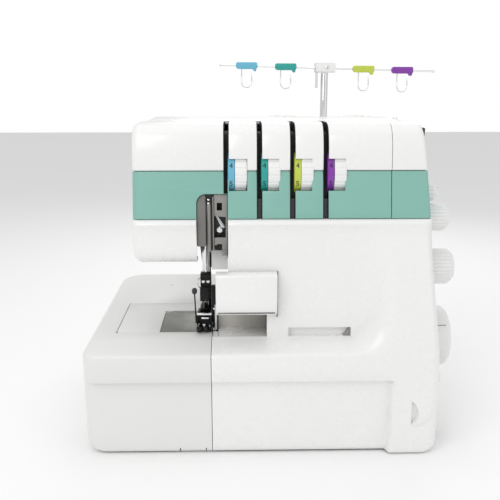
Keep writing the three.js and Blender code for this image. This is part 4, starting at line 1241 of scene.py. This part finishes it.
# ---------------------------------------------------------------- everything else
PLAIN = {
    "bed_cover": ("table_shell", 0.3),
    "cover_hinge_rod": ("steel", 0.3),
    "side_cover": ("white_shell", 0.4),
    "column_inner_cover": ("white_shell", 0.4),
    "side_panel": ("dark_plastic", 0.8),
    "rear_cover": ("white_shell", 0.5),
    "main_shaft": ("steel", 0.4),
    "motor": ("motor_case", 1.5),
    "motor_pulley": ("steel", 0.3),
    "drive_belt": ("rubber", 0.4),
    "arm_shaft": ("steel", 0.4),
    "needle_bar": ("chrome", 0.4),
    "needle_left": ("chrome", 0),
    "needle_right": ("chrome", 0),
    "presser_bar": ("chrome", 0.4),
    "presser_lifter": ("black_steel", 0.6),
    "lower_looper": ("chrome", 0.3),
    "upper_looper": ("chrome", 0.3),
    "lower_knife": ("steel", 0.2),
    "feed_dog": ("steel", 0.2),
    "base_pan": ("dark_plastic", 0.4),
    "bed_casting": ("cast_frame", 0.8),
    "column_casting": ("cast_frame", 0.8),
    "arm_casting": ("cast_frame", 0.8),
    "foot_front_left": ("rubber", 0.3),
    "foot_front_right": ("rubber", 0.3),
    "foot_rear_left": ("rubber", 0.3),
    "foot_rear_right": ("rubber", 0.3),
}


def build_rest():
    for node, (look, bevel) in PLAIN.items():
        done(refined(node, bevel), look, BODY_OF[node], node)


# ---------------------------------------------------------------- stage
CAMERA_PLACE = (-24, -560, 330)
CAMERA_DOWN, CAMERA_TURN = 13.88, -1.23
CAMERA_LENS, CAMERA_SENSOR = 48.96, 36
SOFT_LIGHT, BACKDROP_LIGHT = 0.7, 1.0
# Each lamp's place and the point it faces, in machine millimetres, its size in metres and its power.
LAMPS = {
    "key": ((-520, -700, 900), (0, 60, 140), (0.7, 0.7), 3.6),
    "fill": ((760, -500, 420), (40, 60, 140), (0.6, 0.8), 0.7),
    "top": ((0, 120, 1000), (0, 100, 100), (1.1, 0.8), 1.5),
    "back": ((200, 900, 700), (0, 100, 180), (0.8, 0.6), 1.8),
}


def area_light(name, place, aim, size, power):
    deselect()
    bpy.ops.object.light_add(type="AREA", location=M(*place))
    lamp = bpy.context.object
    lamp.name = name
    lamp.data.shape = "RECTANGLE"
    lamp.data.size, lamp.data.size_y = size
    lamp.data.energy = power
    lamp.rotation_euler = (M(*aim) - M(*place)).to_track_quat("-Z", "Y").to_euler()


def build_stage():
    deselect()
    low = min(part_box(node)[0].z for node in frame["nodes"])
    bpy.ops.mesh.primitive_plane_add(size=8, location=(0, 0, low))
    floor = bpy.context.object
    floor.name = "floor"
    group = surface_group("Floor wear", 60, 3)
    floor.data.materials.append(
        finish_material("Pale floor", (0.96, 0.96, 0.96, 1), group, 0.75, 0.05, 0.02, 0.02)
    )

    rotation = (radians(90 - CAMERA_DOWN), 0, radians(CAMERA_TURN))
    bpy.ops.object.camera_add(location=M(*CAMERA_PLACE), rotation=rotation)
    camera = bpy.context.object
    camera.data.lens = CAMERA_LENS
    camera.data.sensor_width = CAMERA_SENSOR
    camera.data.clip_start = 0.01
    bpy.context.scene.camera = camera

    world = bpy.data.worlds.new("Studio")
    world.use_nodes = True
    tree = world.node_tree
    background = tree.nodes["Background"]
    backdrop = tree.nodes.new("ShaderNodeBackground")
    for node, strength in ((background, SOFT_LIGHT), (backdrop, BACKDROP_LIGHT)):
        node.inputs["Color"].default_value = (1, 1, 1, 1)
        node.inputs["Strength"].default_value = strength
    path = tree.nodes.new("ShaderNodeLightPath")
    mixed = tree.nodes.new("ShaderNodeMixShader")
    link(tree, path, "Is Camera Ray", mixed, "Fac")
    link(tree, background, "Background", mixed, 1)
    link(tree, backdrop, "Background", mixed, 2)
    link(tree, mixed, "Shader", tree.nodes["World Output"], "Surface")
    bpy.context.scene.world = world
    bpy.context.scene.view_settings.view_transform = "Standard"
    for name, settings in LAMPS.items():
        area_light(name, *settings)


# ---------------------------------------------------------------- add-on
def length_property(name, description, default):
    return bpy.props.FloatProperty(name=name, description=description, default=default, unit="LENGTH")


class OverlockSizes(bpy.types.PropertyGroup):
    """Sizes that a user would change."""

    first_slot: length_property("First slot", "Place of the leftmost thread slot across the head", -0.0322)
    slot_pitch: length_property("Slot pitch", "Distance from one thread slot to the next", 0.0295)
    slot_width: length_property("Slot width", "Width of a thread slot", 0.005)


def colour_property(name, description, default):
    return bpy.props.FloatVectorProperty(
        name=name, description=description, default=default, subtype="COLOR", size=4, min=0, max=1
    )


class OverlockColours(bpy.types.PropertyGroup):
    """Colours that a user would change."""

    white_shell: colour_property("Covers", "Colour of the machine's covers", (0.86, 0.86, 0.85, 1))
    table_shell: colour_property("Table", "Colour of the extension table", (0.79, 0.79, 0.775, 1))
    green_band: colour_property("Front band", "Colour of the band across the head", (0.235, 0.475, 0.41, 1))
    grey_cover: colour_property(
        "Needle cover", "Colour of the cover beside the needle bar", (0.185, 0.178, 0.168, 1)
    )
    control_grey: colour_property(
        "Controls", "Colour of the knobs, handwheel and thread stand", (0.84, 0.84, 0.835, 1)
    )
    sky_blue: colour_property(
        "First thread", "Colour of the first dial and thread guide", (0.14, 0.46, 0.62, 1)
    )
    teal: colour_property(
        "Second thread", "Colour of the second dial and thread guide", (0.025, 0.35, 0.31, 1)
    )
    lime: colour_property("Third thread", "Colour of the third dial and thread guide", (0.53, 0.62, 0.08, 1))
    purple: colour_property(
        "Fourth thread", "Colour of the fourth dial and thread guide", (0.23, 0.045, 0.37, 1)
    )


class OVERLOCK_OT_finishes(bpy.types.Operator):
    """Makes the shared finishes."""

    bl_idname = "overlock.finishes"
    bl_label = "Finishes"

    def execute(self, context):
        FINISH.update(make_materials())
        return {"FINISHED"}


class OVERLOCK_OT_table(bpy.types.Operator):
    """Builds the extension table."""

    bl_idname = "overlock.table"
    bl_label = "Table"

    def execute(self, context):
        build_table()
        return {"FINISHED"}


class OVERLOCK_OT_looper_cover(bpy.types.Operator):
    """Builds the looper cover and the knife guard."""

    bl_idname = "overlock.looper_cover"
    bl_label = "Looper cover"

    def execute(self, context):
        build_looper_cover()
        return {"FINISHED"}


class OVERLOCK_OT_head(bpy.types.Operator):
    """Builds the head's covers and the thread slots."""

    bl_idname = "overlock.head"
    bl_label = "Head"

    def execute(self, context):
        build_head()
        return {"FINISHED"}


class OVERLOCK_OT_needle_face(bpy.types.Operator):
    """Builds the cover and plate beside the needle bar."""

    bl_idname = "overlock.needle_face"
    bl_label = "Needle face"

    def execute(self, context):
        build_face()
        return {"FINISHED"}


class OVERLOCK_OT_needles(bpy.types.Operator):
    """Builds the needle clamp, presser foot, knife and needle plate."""

    bl_idname = "overlock.needles"
    bl_label = "Needles"

    def execute(self, context):
        build_needles()
        return {"FINISHED"}


class OVERLOCK_OT_dials(bpy.types.Operator):
    """Builds the four tension dials."""

    bl_idname = "overlock.dials"
    bl_label = "Dials"

    def execute(self, context):
        build_dials()
        return {"FINISHED"}


class OVERLOCK_OT_controls(bpy.types.Operator):
    """Builds the knobs, handwheel, switch and inlet."""

    bl_idname = "overlock.controls"
    bl_label = "Controls"

    def execute(self, context):
        build_controls()
        return {"FINISHED"}


class OVERLOCK_OT_thread_stand(bpy.types.Operator):
    """Builds the spool stand, antenna and thread guides."""

    bl_idname = "overlock.thread_stand"
    bl_label = "Thread stand"

    def execute(self, context):
        build_thread_stand()
        return {"FINISHED"}


class OVERLOCK_OT_rest(bpy.types.Operator):
    """Finishes the remaining pieces."""

    bl_idname = "overlock.rest"
    bl_label = "Rest"

    def execute(self, context):
        build_rest()
        return {"FINISHED"}


class OVERLOCK_OT_stage(bpy.types.Operator):
    """Sets up the floor, lights and camera."""

    bl_idname = "overlock.stage"
    bl_label = "Stage"

    def execute(self, context):
        build_stage()
        return {"FINISHED"}


OPERATORS = [
    OVERLOCK_OT_finishes,
    OVERLOCK_OT_table,
    OVERLOCK_OT_looper_cover,
    OVERLOCK_OT_head,
    OVERLOCK_OT_needle_face,
    OVERLOCK_OT_needles,
    OVERLOCK_OT_dials,
    OVERLOCK_OT_controls,
    OVERLOCK_OT_thread_stand,
    OVERLOCK_OT_rest,
    OVERLOCK_OT_stage,
]


class OVERLOCK_PT_panel(bpy.types.Panel):
    """Lists the sizes, the colours and the stages of the build."""

    bl_label = "Overlock machine"
    bl_idname = "OVERLOCK_PT_panel"
    bl_space_type = "VIEW_3D"
    bl_region_type = "UI"
    bl_category = "Overlock"

    def draw(self, context):
        sizes = context.scene.overlock_sizes
        for name in ("first_slot", "slot_pitch", "slot_width"):
            self.layout.prop(sizes, name)
        colours = context.scene.overlock_colours
        for name in OverlockColours.__annotations__:
            self.layout.prop(colours, name)
        for kind in OPERATORS:
            self.layout.operator(kind.bl_idname)


CLASSES = [OverlockSizes, OverlockColours, *OPERATORS, OVERLOCK_PT_panel]


def register():
    for kind in CLASSES:
        bpy.utils.register_class(kind)
    bpy.types.Scene.overlock_sizes = bpy.props.PointerProperty(type=OverlockSizes)
    bpy.types.Scene.overlock_colours = bpy.props.PointerProperty(type=OverlockColours)


def unregister():
    del bpy.types.Scene.overlock_colours
    del bpy.types.Scene.overlock_sizes
    for kind in reversed(CLASSES):
        bpy.utils.unregister_class(kind)


def main():
    register()
    for kind in OPERATORS:
        getattr(bpy.ops.overlock, kind.bl_idname.split(".")[1])()


if __name__ == "__main__":
    main()
